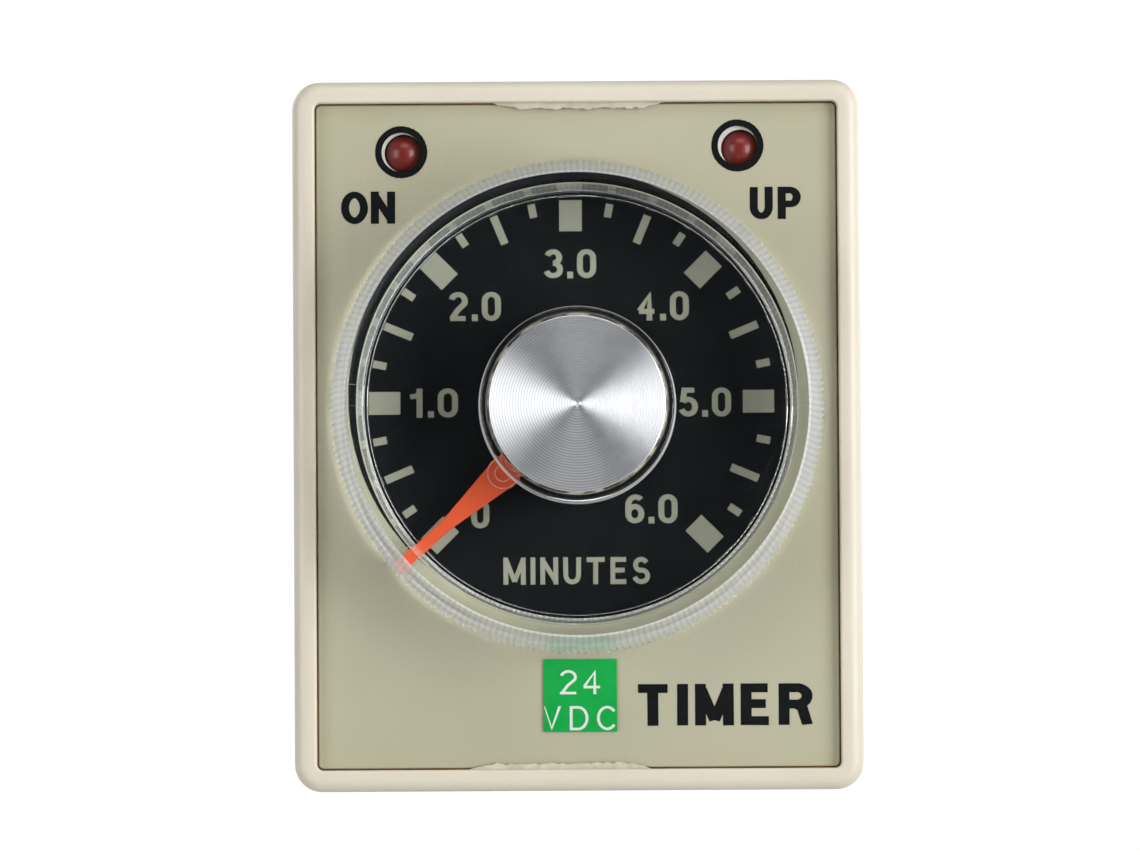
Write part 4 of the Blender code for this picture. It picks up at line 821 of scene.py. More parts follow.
def printed_ring(name, outer, outer_centre, inner, inner_centre, steps):
    """A flat printed ring whose outer edge wanders a little, as screen printing does."""
    front = PLATE_DEPTH - INK
    rim, hole = [], []
    for step in range(steps):
        angle = 2 * math.pi * step / steps
        wander = WANDER * (math.sin(7 * angle + outer) + math.sin(31 * angle) + math.sin(67 * angle + 1)) / 3
        rim.append((outer_centre[0] + (outer + wander) * math.cos(angle),
                    outer_centre[1] + (outer + wander) * math.sin(angle)))
        hole.append((inner_centre[0] + (inner + wander / 2) * math.cos(angle),
                     inner_centre[1] + (inner + wander / 2) * math.sin(angle)))
    layers = [(hole, PLATE_DEPTH), (hole, front), (rim, front), (rim, PLATE_DEPTH)]
    piece = new_piece(name, lofted(layers, closed=True), black_ink, 30.0)
    finish_piece(piece, "case", "printed_plate")


printed_ring("dial_print", BLACK_RADIUS, BLACK_CENTRE, BLACK_HOLE, DIAL_AXIS, 360)
for name, centre in RING_PLACES.items():
    printed_ring(f"ring_{name}", RING_OUTER, centre, RING_INNER, centre, 96)

# %% [markdown]
# ## Marks round the dial
# Seven wide blocks, six long ticks and twelve short ones stand on circles round the dial. Marks that
# repeat by a rule suit Geometry Nodes: points, each turned to its own angle, with one small
# block instanced on every point. Skipping every second place gives the sets between the wide blocks.

# %% Make the marks
def dial_marks_tree():
    """Blocks at even angles on a circle: count, first angle, step, radius and block size."""
    tree = Tree("dial_marks", Count=7, First=0.0, Step=0.1, Radius=0.01, Centre=(0.0, 0.0, 0.0),
                Size=(0.002, 0.0001, 0.001), Finish=None)
    points, angle = tree.circle_points(tree.given("Step"))
    mark = tree.node("GeometryNodeMeshCube")
    tree.link(tree.given("Size"), mark.inputs["Size"])
    placed = tree.node("GeometryNodeInstanceOnPoints")
    tree.link(points, placed.inputs["Points"])
    tree.link(mark.outputs[0], placed.inputs["Instance"])
    tree.link(tree.point(0.0, tree.math("MULTIPLY", angle, -1.0), 0.0), placed.inputs["Rotation"])
    tree.finish(placed.outputs[0])
    return tree


dial_marks = dial_marks_tree()


def mark_set(name, count, first, step, radius, length, width):
    """One set of marks, as a mesh on the dial print."""
    depth = RIM_FRONT + PLATE_DEPTH - 1.5 * INK
    piece = new_piece(name, bmesh.new(), None)
    centre = Vector((DIAL_PRINT[0], depth, DIAL_PRINT[1])) * MM
    grown(piece, dial_marks, Count=count, First=math.radians(first), Step=math.radians(step),
          Radius=radius * MM, Centre=centre, Size=Vector((length, INK, width)) * MM,
          Finish=mark_ink.material)
    finish_piece(piece, "case", "printed_plate")


FIRST_MARK = 225.0
MINUTE = 45.0
MARK_CIRCLE = 13.15
SHORT_MARK_CIRCLE = 13.75
mark_set("marks_whole", 7, FIRST_MARK, -MINUTE, MARK_CIRCLE, 2.2, 1.6)
mark_set("marks_half", 6, FIRST_MARK - MINUTE / 2, -MINUTE, MARK_CIRCLE, 2.1, 0.56)
mark_set("marks_quarter", 12, FIRST_MARK - MINUTE / 4, -MINUTE / 2, SHORT_MARK_CIRCLE, 0.96, 0.53)

# %% [markdown]
# ## Lettering drawn with a pen
# A text object would be quick, but the built-in typeface is far from the plain sign lettering on
# the plate. These letters are strokes of a flat pen instead: each letter is a few lines and bows in
# a unit square, and a helper gives each line its width. Uprights are a little wider than level bars.
# Each stroke becomes a thin closed film, so that it lies on the plate like ink.

# %% Define the letters and the pen
def bow(x, y, rx, ry, start, end, steps=14):
    """Points on part of an ellipse, between two angles in degrees."""
    angles = [math.radians(start + (end - start) * step / steps) for step in range(steps + 1)]
    return [(x + rx * math.cos(a), y + ry * math.sin(a)) for a in angles]


OVAL = bow(0.5, 0.72, 0.5, 0.28, 0, 180) + bow(0.5, 0.28, 0.5, 0.28, 180, 360) + [(1.0, 0.72)]
LETTERS = {
    "0": (0.63, [OVAL]),
    "1": (0.42, [[(0.85, -0.06), (0.85, 1.06)], [(0.85, 0.93), (0.6, 0.80), (-0.1, 0.76)]]),
    "2": (0.63, [bow(0.5, 0.73, 0.5, 0.27, 165, -25) + [(0.45, 0.34), (0.04, 0.0)], [(-0.1, 0), (1.05, 0)]]),
    "3": (0.63, [bow(0.48, 0.76, 0.46, 0.24, 160, -90), bow(0.48, 0.26, 0.52, 0.26, 90, -165)]),
    "4": (0.65, [[(0.72, -0.06), (0.72, 1.0), (0.0, 0.3)], [(-0.05, 0.27), (1.08, 0.27)]]),
    "5": (0.63, [[(0.95, 1), (0.2, 1), (0.08, 0.5)],
                 [(0.08, 0.5)] + bow(0.48, 0.31, 0.52, 0.31, 130, -160)]),
    "6": (0.63, [bow(0.5, 0.3, 0.5, 0.3, 0, 360), bow(0.56, 0.66, 0.56, 0.34, 45, 180) + [(0.0, 0.3)]]),
    "7": (0.6, [[(-0.05, 1), (1, 1), (0.55, 0.45), (0.4, -0.06)]]),
    "8": (0.63, [bow(0.5, 0.75, 0.44, 0.25, 0, 360), bow(0.5, 0.27, 0.5, 0.27, 0, 360)]),
    "M": (0.9, [[(0, -0.08), (0, 1.08)], [(0.03, 0.97), (0.5, 0.03)], [(0.97, 0.97), (0.5, 0.03)],
                [(1, -0.08), (1, 1.08)]]),
    "I": (0.0, [[(0.5, -0.08), (0.5, 1.08)]]),
    "N": (0.68, [[(0, -0.08), (0, 1.08)], [(0.02, 0.96), (0.98, 0.04)], [(1, -0.08), (1, 1.08)]]),
    "U": (0.68, [[(0, 1.08), (0, 0.35)] + bow(0.5, 0.35, 0.5, 0.35, 180, 360) + [(1, 1.08)]]),
    "T": (0.76, [[(-0.12, 1), (1.12, 1)], [(0.5, -0.08), (0.5, 1)]]),
    "E": (0.63, [[(1.08, 1), (0, 1), (0, 0), (1.12, 0)], [(0, 0.52), (0.98, 0.52)]]),
    "S": (0.68, [bow(0.5, 0.75, 0.44, 0.25, 25, 262) + bow(0.5, 0.26, 0.5, 0.26, 84, -168)]),
    "O": (0.80, [bow(0.5, 0.5, 0.5, 0.5, 0, 360, 40)]),
    "P": (0.68, [[(0, -0.08), (0, 1.08)],
                 [(0.1, 1), (0.45, 1)] + bow(0.55, 0.73, 0.45, 0.27, 90, -90) + [(0.1, 0.46)]]),
    "R": (0.74, [[(0, -0.08), (0, 1.08)],
                 [(0.1, 1), (0.45, 1)] + bow(0.55, 0.75, 0.45, 0.25, 90, -90) + [(0.1, 0.5)],
                 [(0.5, 0.5), (0.78, 0.4), (1.0, -0.08)]]),
    "V": (0.72, [[(0, 1.08), (0.5, 0.0), (1, 1.08)]]),
    "D": (0.70, [[(0, 0), (0, 1), (0.4, 1)] + bow(0.45, 0.5, 0.55, 0.5, 90, -90) + [(0, 0)]]),
    "C": (0.76, [bow(0.52, 0.5, 0.52, 0.5, 38, 322, 30)]),
    ".": (0.0, [[(0.5, -0.08), (0.5, 0.09)]]),
}


def stroke(line, pen):
    """The two edges of a pen line, with corners mitred."""
    looped = math.dist(line[0], line[-1]) < 1e-6
    edges = []
    for i, here in enumerate(line):
        before = line[i - 1] if i else (line[-2] if looped else None)
        after = line[i + 1] if i + 1 < len(line) else (line[1] if looped else None)
        ways = [Vector(b) - Vector(a) for a, b in ((before, here), (here, after)) if a and b]
        ways = [way.normalized() for way in ways if way.length > 1e-9]
        mean = sum(ways, Vector((0.0, 0.0))).normalized()
        reach = min(1.0 / max(0.3, mean.dot(ways[0])), 2.2) * pen / 2
        across = Vector((-mean.y, mean.x)) * reach
        edges.append((Vector(here) + across, Vector(here) - across))
    return edges


def kept(across, up, left, wide, cap):
    """A point held inside its letter's box."""
    return min(max(across, left), left + wide), min(max(up, -cap / 2), cap / 2)


def drawn(text, cap, pen, width, level_pen=None, gap=0.3):
    """Strokes of a line of text, centred on its own middle. width is the whole line's, in mm."""
    level_pen = level_pen or pen
    natural = [pen + LETTERS[c][0] * (cap - pen / 0.66) for c in text]
    room = width - gap * (len(text) - 1) - sum(pen for c in text if LETTERS[c][0] == 0)
    share = room / sum(w for w, c in zip(natural, text) if LETTERS[c][0] > 0)
    strokes, x = [], -width / 2
    for letter, wide in zip(text, natural):
        wide = pen if LETTERS[letter][0] == 0 else wide * share
        ratio = level_pen / pen
        for line in LETTERS[letter][1]:
            points = []
            for u, v in line:
                reach = 0.5 if wide == pen else min(max(u, 0.0), 1.0)
                beyond = 0.0 if wide == pen else (u - reach) * (wide - pen)
                px = x + pen / 2 + (wide - pen) * reach + beyond
                pz = -cap / 2 + level_pen / 2 + (cap - level_pen) * min(max(v, 0.0), 1.0)
                if v < 0:
                    pz = -cap / 2
                if v > 1:
                    pz = cap / 2
                if letter == "." and v > 0:
                    pz = -cap / 2 + pen * 1.1
                points.append((px * ratio, pz))
            edges = stroke(points, level_pen)
            strokes.append([(*kept(a.x / ratio, a.y, x, wide, cap), *kept(b.x / ratio, b.y, x, wide, cap))
                            for a, b in edges])
        x += wide + gap
    return strokes


def pressed(name, lines, finish, to_place, rough=0.012):
    """Strokes made into thin films, each at its own height, so that crossing ones share no face.

    to_place puts (across, up, height) in the frame."""
    shape = bmesh.new()
    for number, line in enumerate(lines):
        rings = []
        top = 1.0 + 0.05 * (number % 4)
        looped = math.dist(line[0], line[-1]) < 1e-4
        for i, (ax, az, bx, bz) in enumerate(line[:-1] if looped else line):
            shake = rough * math.sin(12.9 * i + 7.0 * ax + 3.0 * az)
            corners = [(ax + shake, az - shake, top), (bx + shake, bz - shake, top)]
            corners += [(bx, bz, 0), (ax, az, 0)]
            rings.append([shape.verts.new(to_place(*corner)) for corner in corners])
        for ring, after in zip(rings, rings[1:] + (rings[:1] if looped else [])):
            for i in range(4):
                j = (i + 1) % 4
                shape.faces.new((ring[i], ring[j], after[j], after[i]))
        if not looped:
            shape.faces.new(rings[0])
            shape.faces.new(rings[-1])
    bmesh.ops.recalc_face_normals(shape, faces=shape.faces)
    return new_piece(name, shape, finish, 30.0)


def on_front(x, z, lift=1):
    """Places strokes on the plate, centred on (x, z) and lift films above it."""
    def place(across, up, height):
        return (x + across, RIM_FRONT + PLATE_DEPTH - INK * (lift + height - 1) - 0.001, z + up)
    return place


print("letters:", " ".join(LETTERS))

# %% [markdown]
# ## The words and numbers
# On the real plate the numbers are gaps in the black that show the beige behind it. Here they are
# films of that beige on top of the black, which look the same and need no carving. The black words
# are pressed straight on the plate.

# %% Draw the words and numbers
NUMBERS = {"0": (-6.47, -7.81), "1.0": (-9.74, 0.0), "2.0": (-6.77, 6.79), "3.0": (-0.05, 9.77),
           "4.0": (6.46, 6.76), "5.0": (9.39, -0.04), "6.0": (5.57, -7.53)}
for number, (x, z) in NUMBERS.items():
    name = "number_" + number.replace(".", "_")
    wide = 1.28 if number == "0" else (3.5 if number == "1.0" else 3.68)
    place = on_front(DIAL_PRINT[0] + x, DIAL_PRINT[1] + z, 2)
    strokes = drawn(number, 2.04, 0.41, wide, 0.35, 0.29)
    finish_piece(pressed(name, strokes, mark_ink, place), "case", "printed_plate")
place = on_front(DIAL_PRINT[0] + 0.3, DIAL_PRINT[1] - 11.86, 2)
minutes = pressed("word_minutes", drawn("MINUTES", 1.9, 0.33, 10.3, 0.33, 0.36), mark_ink, place)
finish_piece(minutes, "case", "printed_plate")
for word, cap, pen, bar, wide, gap, x, z in (
    ("ON", 2.27, 0.56, 0.46, 3.8, 0.22, -14.66, 16.13),
    ("UP", 2.27, 0.56, 0.46, 3.6, 0.36, 14.05, 16.3),
    ("TIMER", 2.92, 0.76, 0.62, 12.45, 0.5, 10.2, -19.0),
):
    strokes = drawn(word, cap, pen, wide, bar, gap)
    piece = pressed("word_" + word.lower(), strokes, black_ink, on_front(x, z))
    finish_piece(piece, "case", "printed_plate")

# %% [markdown]
# ## The green rating label
# A small glossy sticker sits in the middle, under the knob, with two lines of thin white lettering
# that was set a little too wide for it. It is one thin slab with the strokes pressed on top, so the
# first letter is cut off by the label's edge, as on the real sticker.

# %% Make the green label
label_low, label_high = box_mm("voltage_label")
LABEL_FACE = label_low.y - RIM_FRONT
label_middle = ((label_low.x + label_high.x) / 2, (label_low.z + label_high.z) / 2)
LABEL_WIDTH, LABEL_HEIGHT = label_high.x - label_low.x, label_high.z - label_low.z

green = Finish("label_green", (0.003, 0.36, 0.055), 0.42, Specular_IOR_Level=0.3)
green.paint(green.blend(green.noise(0.35), (0.002, 0.34, 0.05), (0.005, 0.40, 0.07)))
green.polish(green.ranged(green.noise(1.2), 0.36, 0.5))
green.bump(green.noise(0.1), 0.002)
white_ink = Finish("white_ink", (0.74, 0.76, 0.72), 0.5)
white_ink.paint(white_ink.blend(white_ink.noise(0.2), (0.66, 0.72, 0.64), (0.80, 0.80, 0.77)))
white_ink.bump(white_ink.noise(0.1), 0.002)

label_face = rounded_outline(LABEL_WIDTH - 0.04, LABEL_HEIGHT - 0.04, 0.06, 3, label_middle)
label_edge = rounded_outline(LABEL_WIDTH, LABEL_HEIGHT, 0.08, 3, label_middle)
label_shape = lofted([(label_face, LABEL_FACE), (label_edge, LABEL_FACE + 0.02),
                      (label_edge, LABEL_FACE + 0.1)])
finish_piece(new_piece("rating_label", label_shape, green), "case", "green_label", "voltage_label")


def on_label(x, z):
    """Places strokes on the label, and holds them inside its sides."""
    def place(across, up, height):
        side = min(max(x + across, -LABEL_WIDTH / 2), LABEL_WIDTH / 2)
        depth = RIM_FRONT + LABEL_FACE - 0.015 * height - 0.001
        return (label_middle[0] + side, depth, label_middle[1] + z + up)
    return place


for name, text, wide, gap, x, z in (("rating_number", "24", 2.84, 0.42, -0.02, 0.93),
                                    ("rating_unit", "VDC", 5.25, 0.6, -0.07, -1.6)):
    strokes = drawn(text, 1.7, 0.2, wide, 0.18, gap)
    finish_piece(pressed(name, strokes, white_ink, on_label(x, z), 0.006), "case", "green_label")

# %% [markdown]
# ## The two lamps
# Each lamp is a small red diode with a domed nose just behind the plate. It is switched off, so the
# red is deep and the dome only mirrors the studio. It sits off the middle of its hole, and a pale
# seat shows beside it as a crescent. The body, its flange, its legs and the seat are profiles turned
# on an axis, which is simpler than a sphere joined to a cylinder, and the skin is a clear coat over
# dark red.

# %% Make the lamps
red_lamp = Finish("lamp_red", (0.20, 0.008, 0.006), 0.45, Coat_Weight=0.3, Coat_Roughness=0.12,
                  Subsurface_Weight=0.25, Subsurface_Scale=0.0006)
red_lamp.paint(red_lamp.blend(red_lamp.noise(0.8), (0.13, 0.003, 0.002), (0.22, 0.006, 0.004)))
red_lamp.bump(red_lamp.noise(0.5), 0.01, 0.4)


def metal(name, colour, roughness, patch=2.0, scratch=(1.0, 12.0, 1.0), depth=0.002, **sockets):
    """Bare metal: uneven gloss, a faint change of tone, and fine marks drawn out along one way."""
    finish = Finish(name, colour, roughness, 1.0, **sockets)
    darker = tuple(0.86 * c for c in colour)
    finish.paint(finish.blend(finish.ranged(finish.noise(patch), 0.0, 1.0), darker, colour))
    finish.polish(finish.ranged(finish.noise(patch / 2), roughness - 0.06, roughness + 0.1))
    finish.bump(finish.noise(0.15, stretch=scratch), depth)
    return finish


pale_seat = moulded("pale_seat", (0.78, 0.76, 0.72), (0.70, 0.68, 0.64), 0.5, patch=0.8, grain=0.1)
nickel = metal("nickel_plate", (0.66, 0.64, 0.60), 0.26)
LAMP_TIP = PLATE_DEPTH + 0.06
LAMP_RADIUS = 1.45
FLANGE_RADIUS = 1.7
LEG_RADIUS = 0.3
NOSE_RADIUS = 1.33
LAMP_BASE = PLATE_BACK + 4.4


def joined(shapes):
    """Several closed shapes in one bmesh."""
    whole = bmesh.new()
    for shape in shapes:
        loose = bpy.data.meshes.new("loose")
        shape.to_mesh(loose)
        shape.free()
        whole.from_mesh(loose)
        bpy.data.meshes.remove(loose)
    return whole


lamp_profile = [(0.0, LAMP_TIP)]
for degrees in range(8, 91, 8):
    turn = math.radians(degrees)
    lamp_profile.append((NOSE_RADIUS * math.sin(turn), LAMP_TIP + NOSE_RADIUS * (1 - math.cos(turn))))
lamp_profile += [(NOSE_RADIUS, PLATE_BACK + 0.02), (LAMP_RADIUS, PLATE_BACK + 0.12)]
lamp_profile += [(LAMP_RADIUS, LAMP_BASE - 0.8), (FLANGE_RADIUS, LAMP_BASE - 0.8)]
lamp_profile += [(FLANGE_RADIUS, LAMP_BASE), (0.0, LAMP_BASE)]
seat_profile = [(NOSE_RADIUS + 0.02, LAMP_TIP + 0.32), (FLANGE_RADIUS, LAMP_TIP + 0.32)]
seat_profile += [(FLANGE_RADIUS, PLATE_BACK), (NOSE_RADIUS + 0.02, PLATE_BACK)]
for name, (x, z) in LAMP_PLACES.items():
    lettered = name[4:]
    seat = new_piece("seat_" + lettered, turned(seat_profile, 48, (x, z)), pale_seat)
    finish_piece(seat, "case", "printed_plate")
    lamp = new_piece("lamp_" + lettered, turned(lamp_profile, 48, (x, z)), red_lamp)
    finish_piece(lamp, "case", "red_lamp", name)
    leg_end = lamp_boxes[name][1].y - RIM_FRONT
    legs = joined([drill(LEG_RADIUS, LAMP_BASE - 0.3, leg_end, 12, (x + side, z)) for side in (-1.0, 1.0)])
    finish_piece(new_piece("legs_" + lettered, legs, nickel), "case", "red_lamp")

# %% [markdown]
# ## The clear knob
# The knob is one clear moulding: a skirt with fine teeth round its base, a deep dish with a window
# over the dial, and a collar that holds the metal cap. Glass shows every surface it has, front and
# back, so the profile is a single closed body. The teeth are parallel to the axis while the wall
# leans in, so they run out half way up: one displacement rule in Geometry Nodes makes all 240.
# Shadow rays pass straight through the plastic, so that the plate behind it is lit.

# %% Define the clear plastic
clear_plastic = Finish("clear_plastic", (0.97, 0.985, 0.98), 0.03, Transmission_Weight=1.0, IOR=1.49)
haze = clear_plastic.ranged(clear_plastic.noise(3.0), 0.015, 0.07, 0.35, 0.75)
clear_plastic.polish(haze)
scuff = clear_plastic.noise(0.25, stretch=(1.0, 1.0, 6.0))
clear_plastic.bump(clear_plastic.ranged(scuff, 0.0, 1.0, 0.66, 0.72), 0.0012, 0.6)
through = clear_plastic.node("BsdfTransparent")
through.inputs["Color"].default_value = (0.86, 0.88, 0.88, 1.0)
clear_plastic.mixed_in(clear_plastic.node("LightPath").outputs["Is Shadow Ray"], through)
print("clear plastic ready")

# %% Name the knob's sizes
KNOB_BASE = knob_high.y - RIM_FRONT
KNOB_FRONT = knob_low.y - RIM_FRONT
TOOTH_COUNT = 240
TOOTH_ROOT = 17.2
BASE_RADIUS = KNOB_RADIUS + 0.1
SHOULDER_RADIUS = 16.28
DISH_RADIUS = 15.27
WINDOW_RADIUS = 15.0
WINDOW_FRONT = -2.25
WINDOW_REAR = -1.05
COLLAR_RADIUS = 6.8
COLLAR_FRONT = KNOB_FRONT + 0.4
COLLAR_EDGE = 0.24
CAP_RECESS = 6.3
CAP_SEAT = KNOB_FRONT + 0.8
SKIRT_INNER = 15.42
POCKET_OUTER = 16.6
POCKET_DEPTH = 0.5
HUB_RADIUS = 4.6
BORE_RADIUS = 3.15
BORE_FLAT = 1.65
print("knob depth:", round(KNOB_BASE - KNOB_FRONT, 2))

# %% Define the teeth
def knurl_tree():
    """Moves the outer wall in along its radius, in a saw of teeth, down to the root radius."""
    tree = Tree("knurl", Teeth=240, Root=0.017, Axis=(0.0, 0.0, 0.0), Finish=None)
    x, _, z, radius = tree.from_axis()
    turn = tree.math("DIVIDE", tree.math("ARCTAN2", z, x), 2 * math.pi)
    phase = tree.math("FRACT", tree.math("MULTIPLY", turn, tree.given("Teeth")))
    saw = tree.math("MULTIPLY", tree.math("ABSOLUTE", tree.math("SUBTRACT", phase, 0.5)), 2.0)
    spare = tree.math("MAXIMUM", tree.math("SUBTRACT", radius, tree.given("Root")), 0.0)
    pull = tree.math("DIVIDE", tree.math("MULTIPLY", tree.math("MULTIPLY", spare, saw), -1.0), radius)
    offset = tree.point(tree.math("MULTIPLY", x, pull), 0.0, tree.math("MULTIPLY", z, pull))
    tree.finish(tree.shifted_by(offset))
    return tree


def knob_profile():
    """The knob's section, from the cap's seat round the outside and back to the bore's end."""
    profile = [(0.0, CAP_SEAT), (CAP_RECESS, CAP_SEAT), (CAP_RECESS, COLLAR_FRONT + 0.12)]
    profile += [(CAP_RECESS + 0.04, COLLAR_FRONT + 0.04), (CAP_RECESS + 0.12, COLLAR_FRONT)]
    for angle in range(0, 91, 18):
        turn = math.radians(angle)
        inset, depth = COLLAR_EDGE * (1 - math.sin(turn)), COLLAR_EDGE * (1 - math.cos(turn))
        profile.append((COLLAR_RADIUS - inset, COLLAR_FRONT + depth))
    profile += [(COLLAR_RADIUS, WINDOW_FRONT - 0.12), (COLLAR_RADIUS + 0.12, WINDOW_FRONT)]
    profile += [(14.60, WINDOW_FRONT), (14.63, WINDOW_FRONT + 0.03), (14.68, WINDOW_FRONT + 0.03)]
    profile += [(14.71, WINDOW_FRONT), (WINDOW_RADIUS - 0.1, WINDOW_FRONT)]
    profile += [(WINDOW_RADIUS, WINDOW_FRONT - 0.1)]
    profile += [(DISH_RADIUS - 0.005, KNOB_FRONT + 0.20), (DISH_RADIUS, KNOB_FRONT + 0.14)]
    profile += [(DISH_RADIUS + 0.03, KNOB_FRONT + 0.05), (DISH_RADIUS + 0.10, KNOB_FRONT)]
    profile += [(DISH_RADIUS + 0.12, KNOB_FRONT), (SHOULDER_RADIUS - 0.22, KNOB_FRONT)]
    profile += [(SHOULDER_RADIUS - 0.20, KNOB_FRONT), (SHOULDER_RADIUS - 0.06, KNOB_FRONT + 0.06)]
    profile += [(SHOULDER_RADIUS, KNOB_FRONT + 0.20), (SHOULDER_RADIUS + 0.01, KNOB_FRONT + 0.3)]
    lean = (BASE_RADIUS - SHOULDER_RADIUS) / (KNOB_BASE - KNOB_FRONT - 0.85)
    for depth in (KNOB_FRONT + 0.85, -3.6, -2.1, -1.6, -1.2, -0.5, 0.1, KNOB_BASE):
        profile.append((BASE_RADIUS - (KNOB_BASE - depth) * lean, depth))
    profile += [(SKIRT_INNER, KNOB_BASE), (SKIRT_INNER - 0.1, WINDOW_REAR)]
    return profile + [(HUB_RADIUS, WINDOW_REAR), (HUB_RADIUS, KNOB_BASE), (0.0, KNOB_BASE)]


def skirt_slot(width, degrees, inner, top):
    """A pocket in the underside of the skirt, turned to its place round the pointer."""
    low = (DIAL_AXIS[0] + inner, top, DIAL_AXIS[1] - width / 2)
    high = (DIAL_AXIS[0] + POCKET_OUTER, KNOB_BASE + 1.0, DIAL_AXIS[1] + width / 2)
    return turned_round_dial(block(low, high), degrees)


print("profile points:", len(knob_profile()))

# %% Cut the teeth and the slots
knob = new_piece("clear_knob", turned(knob_profile(), 4 * TOOTH_COUNT, DIAL_AXIS), None)
knob_axis = Vector((DIAL_AXIS[0], 0.0, DIAL_AXIS[1])) * MM
grown(knob, knurl_tree(), Teeth=TOOTH_COUNT, Root=TOOTH_ROOT * MM, Axis=knob_axis,
      Finish=clear_plastic.material)
flat_turn = math.asin(BORE_FLAT / BORE_RADIUS)
bore_turns = [math.pi - flat_turn + step * (math.pi + 2 * flat_turn) / 40 for step in range(41)]
bore = [(DIAL_AXIS[0] + BORE_RADIUS * math.cos(a), DIAL_AXIS[1] + BORE_RADIUS * math.sin(a))
        for a in bore_turns]
bore_cut = turned_round_dial(lofted([(bore, CAP_SEAT + 0.9), (bore, KNOB_BASE + 1.0)]), POINTER_ANGLE)
slots = [skirt_slot(1.5, POINTER_ANGLE + quarter, SKIRT_INNER + 0.1, KNOB_BASE - POCKET_DEPTH)
         for quarter in (45, 135, 225, 315)]
slots.append(skirt_slot(1.3, POINTER_ANGLE, SKIRT_INNER - 1.0, WINDOW_REAR))
carved(knob, [bore_cut, *slots], 30.0)
print("slots:", len(slots))

# %% [markdown]
# ## The frosted grip
# The grip's wall and the collar's outer edge are matt, so they scatter light and look white where the
# rest stays clear. A second material on those faces does it, which keeps the knob in one piece. Thin
# grey ribs at the pitch of the teeth are painted shade, for the light that each tooth bends away.

# %% Frost the grip
FROSTED_FROM = 16.1

frosted = Finish("frosted_plastic", (0.97, 0.98, 0.98), 0.30, Transmission_Weight=0.58, IOR=1.49)
frosted.polish(frosted.ranged(frosted.noise(0.5), 0.30, 0.34))
frosted.bump(frosted.noise(0.4), 0.0015)
axis_parts = frosted.node("SeparateXYZ")
frosted.link(frosted.from_dial(), axis_parts.inputs[0])
bearing = frosted.node("Math", operation="ARCTAN2")
frosted.link(axis_parts.outputs["Z"], bearing.inputs[0])
frosted.link(axis_parts.outputs["X"], bearing.inputs[1])
# Painted shade: a grey rib in the colour at the pitch of each tooth.
painted_tooth_shade = frosted.ranged(frosted.sine(bearing.outputs[0], TOOTH_COUNT), 0.0, 1.0, -0.9, 0.1)
frosted.paint(frosted.blend(painted_tooth_shade, (0.80, 0.81, 0.82), (1.0, 1.0, 1.0)))
knob.data.materials.append(frosted.material)
for face in knob.data.polygons:
    middle = face.center / MM - Vector((DIAL_AXIS[0], RIM_FRONT, DIAL_AXIS[1]))
    radius = math.hypot(middle.x, middle.z)
    on_collar = COLLAR_RADIUS - 0.06 < radius < COLLAR_RADIUS + 0.1 and middle.y < WINDOW_FRONT
    if on_collar or (radius > FROSTED_FROM and middle.y < KNOB_BASE - 0.01):
        face.material_index = 1
finish_piece(knob, "dial", "clear_knob", "knob")

# %% [markdown]
# ## The red pointer
# The pointer is a flat red moulding behind the window. A post of the knob goes through its round
# boss and is melted over, which leaves two fine rings. The outline is swept to its thickness, and
# the top edge is drawn in a little so that it catches light. Fine sparkle comes from the bump.

# %% Make the pointer
POINTER_FACE = box_mm("pointer")[0].y - RIM_FRONT
BOSS_AT = 7.03
BOSS_RADIUS = 1.16
TAIL_HALF = 1.05
TAIL_START = HUB_RADIUS + 0.3
TIP_HALF = 0.42
TAPER_END = 12.4
TIP_REACH = BASE_RADIUS - 0.9

red = Finish("pointer_red", (0.70, 0.062, 0.014), 0.42)
red.paint(red.blend(red.noise(0.12, 2.0), (0.70, 0.065, 0.015), (0.82, 0.12, 0.035)))
red.polish(red.ranged(red.noise(0.2), 0.3, 0.5))
red.bump(red.noise(0.07), 0.006)


def pointer_outline(inset):
    """The pointer's outline along +X, drawn in by inset."""
    tail, tip, boss = TAIL_HALF - inset, TIP_HALF - inset, BOSS_RADIUS - inset
    bend = math.degrees(math.asin(tail / boss))
    points = [(TAIL_START + inset, -tail)]
    points += bow(BOSS_AT, 0.0, boss, boss, bend - 180, -bend, 8)
    points += [(TAPER_END, -tip), (TIP_REACH - inset, -tip), (TIP_REACH - inset, tip), (TAPER_END, tip)]
    points += bow(BOSS_AT, 0.0, boss, boss, bend, 180 - bend, 8)
    points.append((TAIL_START + inset, tail))
    return [(DIAL_AXIS[0] + x, DIAL_AXIS[1] + z) for x, z in points]


pointer_layers = [(pointer_outline(0.05), POINTER_FACE), (pointer_outline(0.0), POINTER_FACE + 0.05),
                  (pointer_outline(0.0), POINTER_FACE + 0.5)]
pointer = new_piece("red_pointer", turned_round_dial(lofted(pointer_layers), POINTER_ANGLE), red)
finish_piece(pointer, "dial", "red_pointer", "pointer")

melted = moulded("melted_post", (0.86, 0.42, 0.36), (0.80, 0.32, 0.25), 0.25, patch=0.5, grain=0.1)
for name, outer, inner in (("boss_ring", 1.12, 1.03), ("post_ring", 0.62, 0.52)):
    face = POINTER_FACE - 0.06
    ring = [(inner, POINTER_FACE + 0.01), (inner + 0.02, face)]
    ring += [(outer - 0.02, face), (outer, POINTER_FACE + 0.01)]
    shape = turned_round_dial(turned(ring, 64, (DIAL_AXIS[0] + BOSS_AT, DIAL_AXIS[1])), POINTER_ANGLE)
    finish_piece(new_piece(name, shape, melted), "dial", "red_pointer")
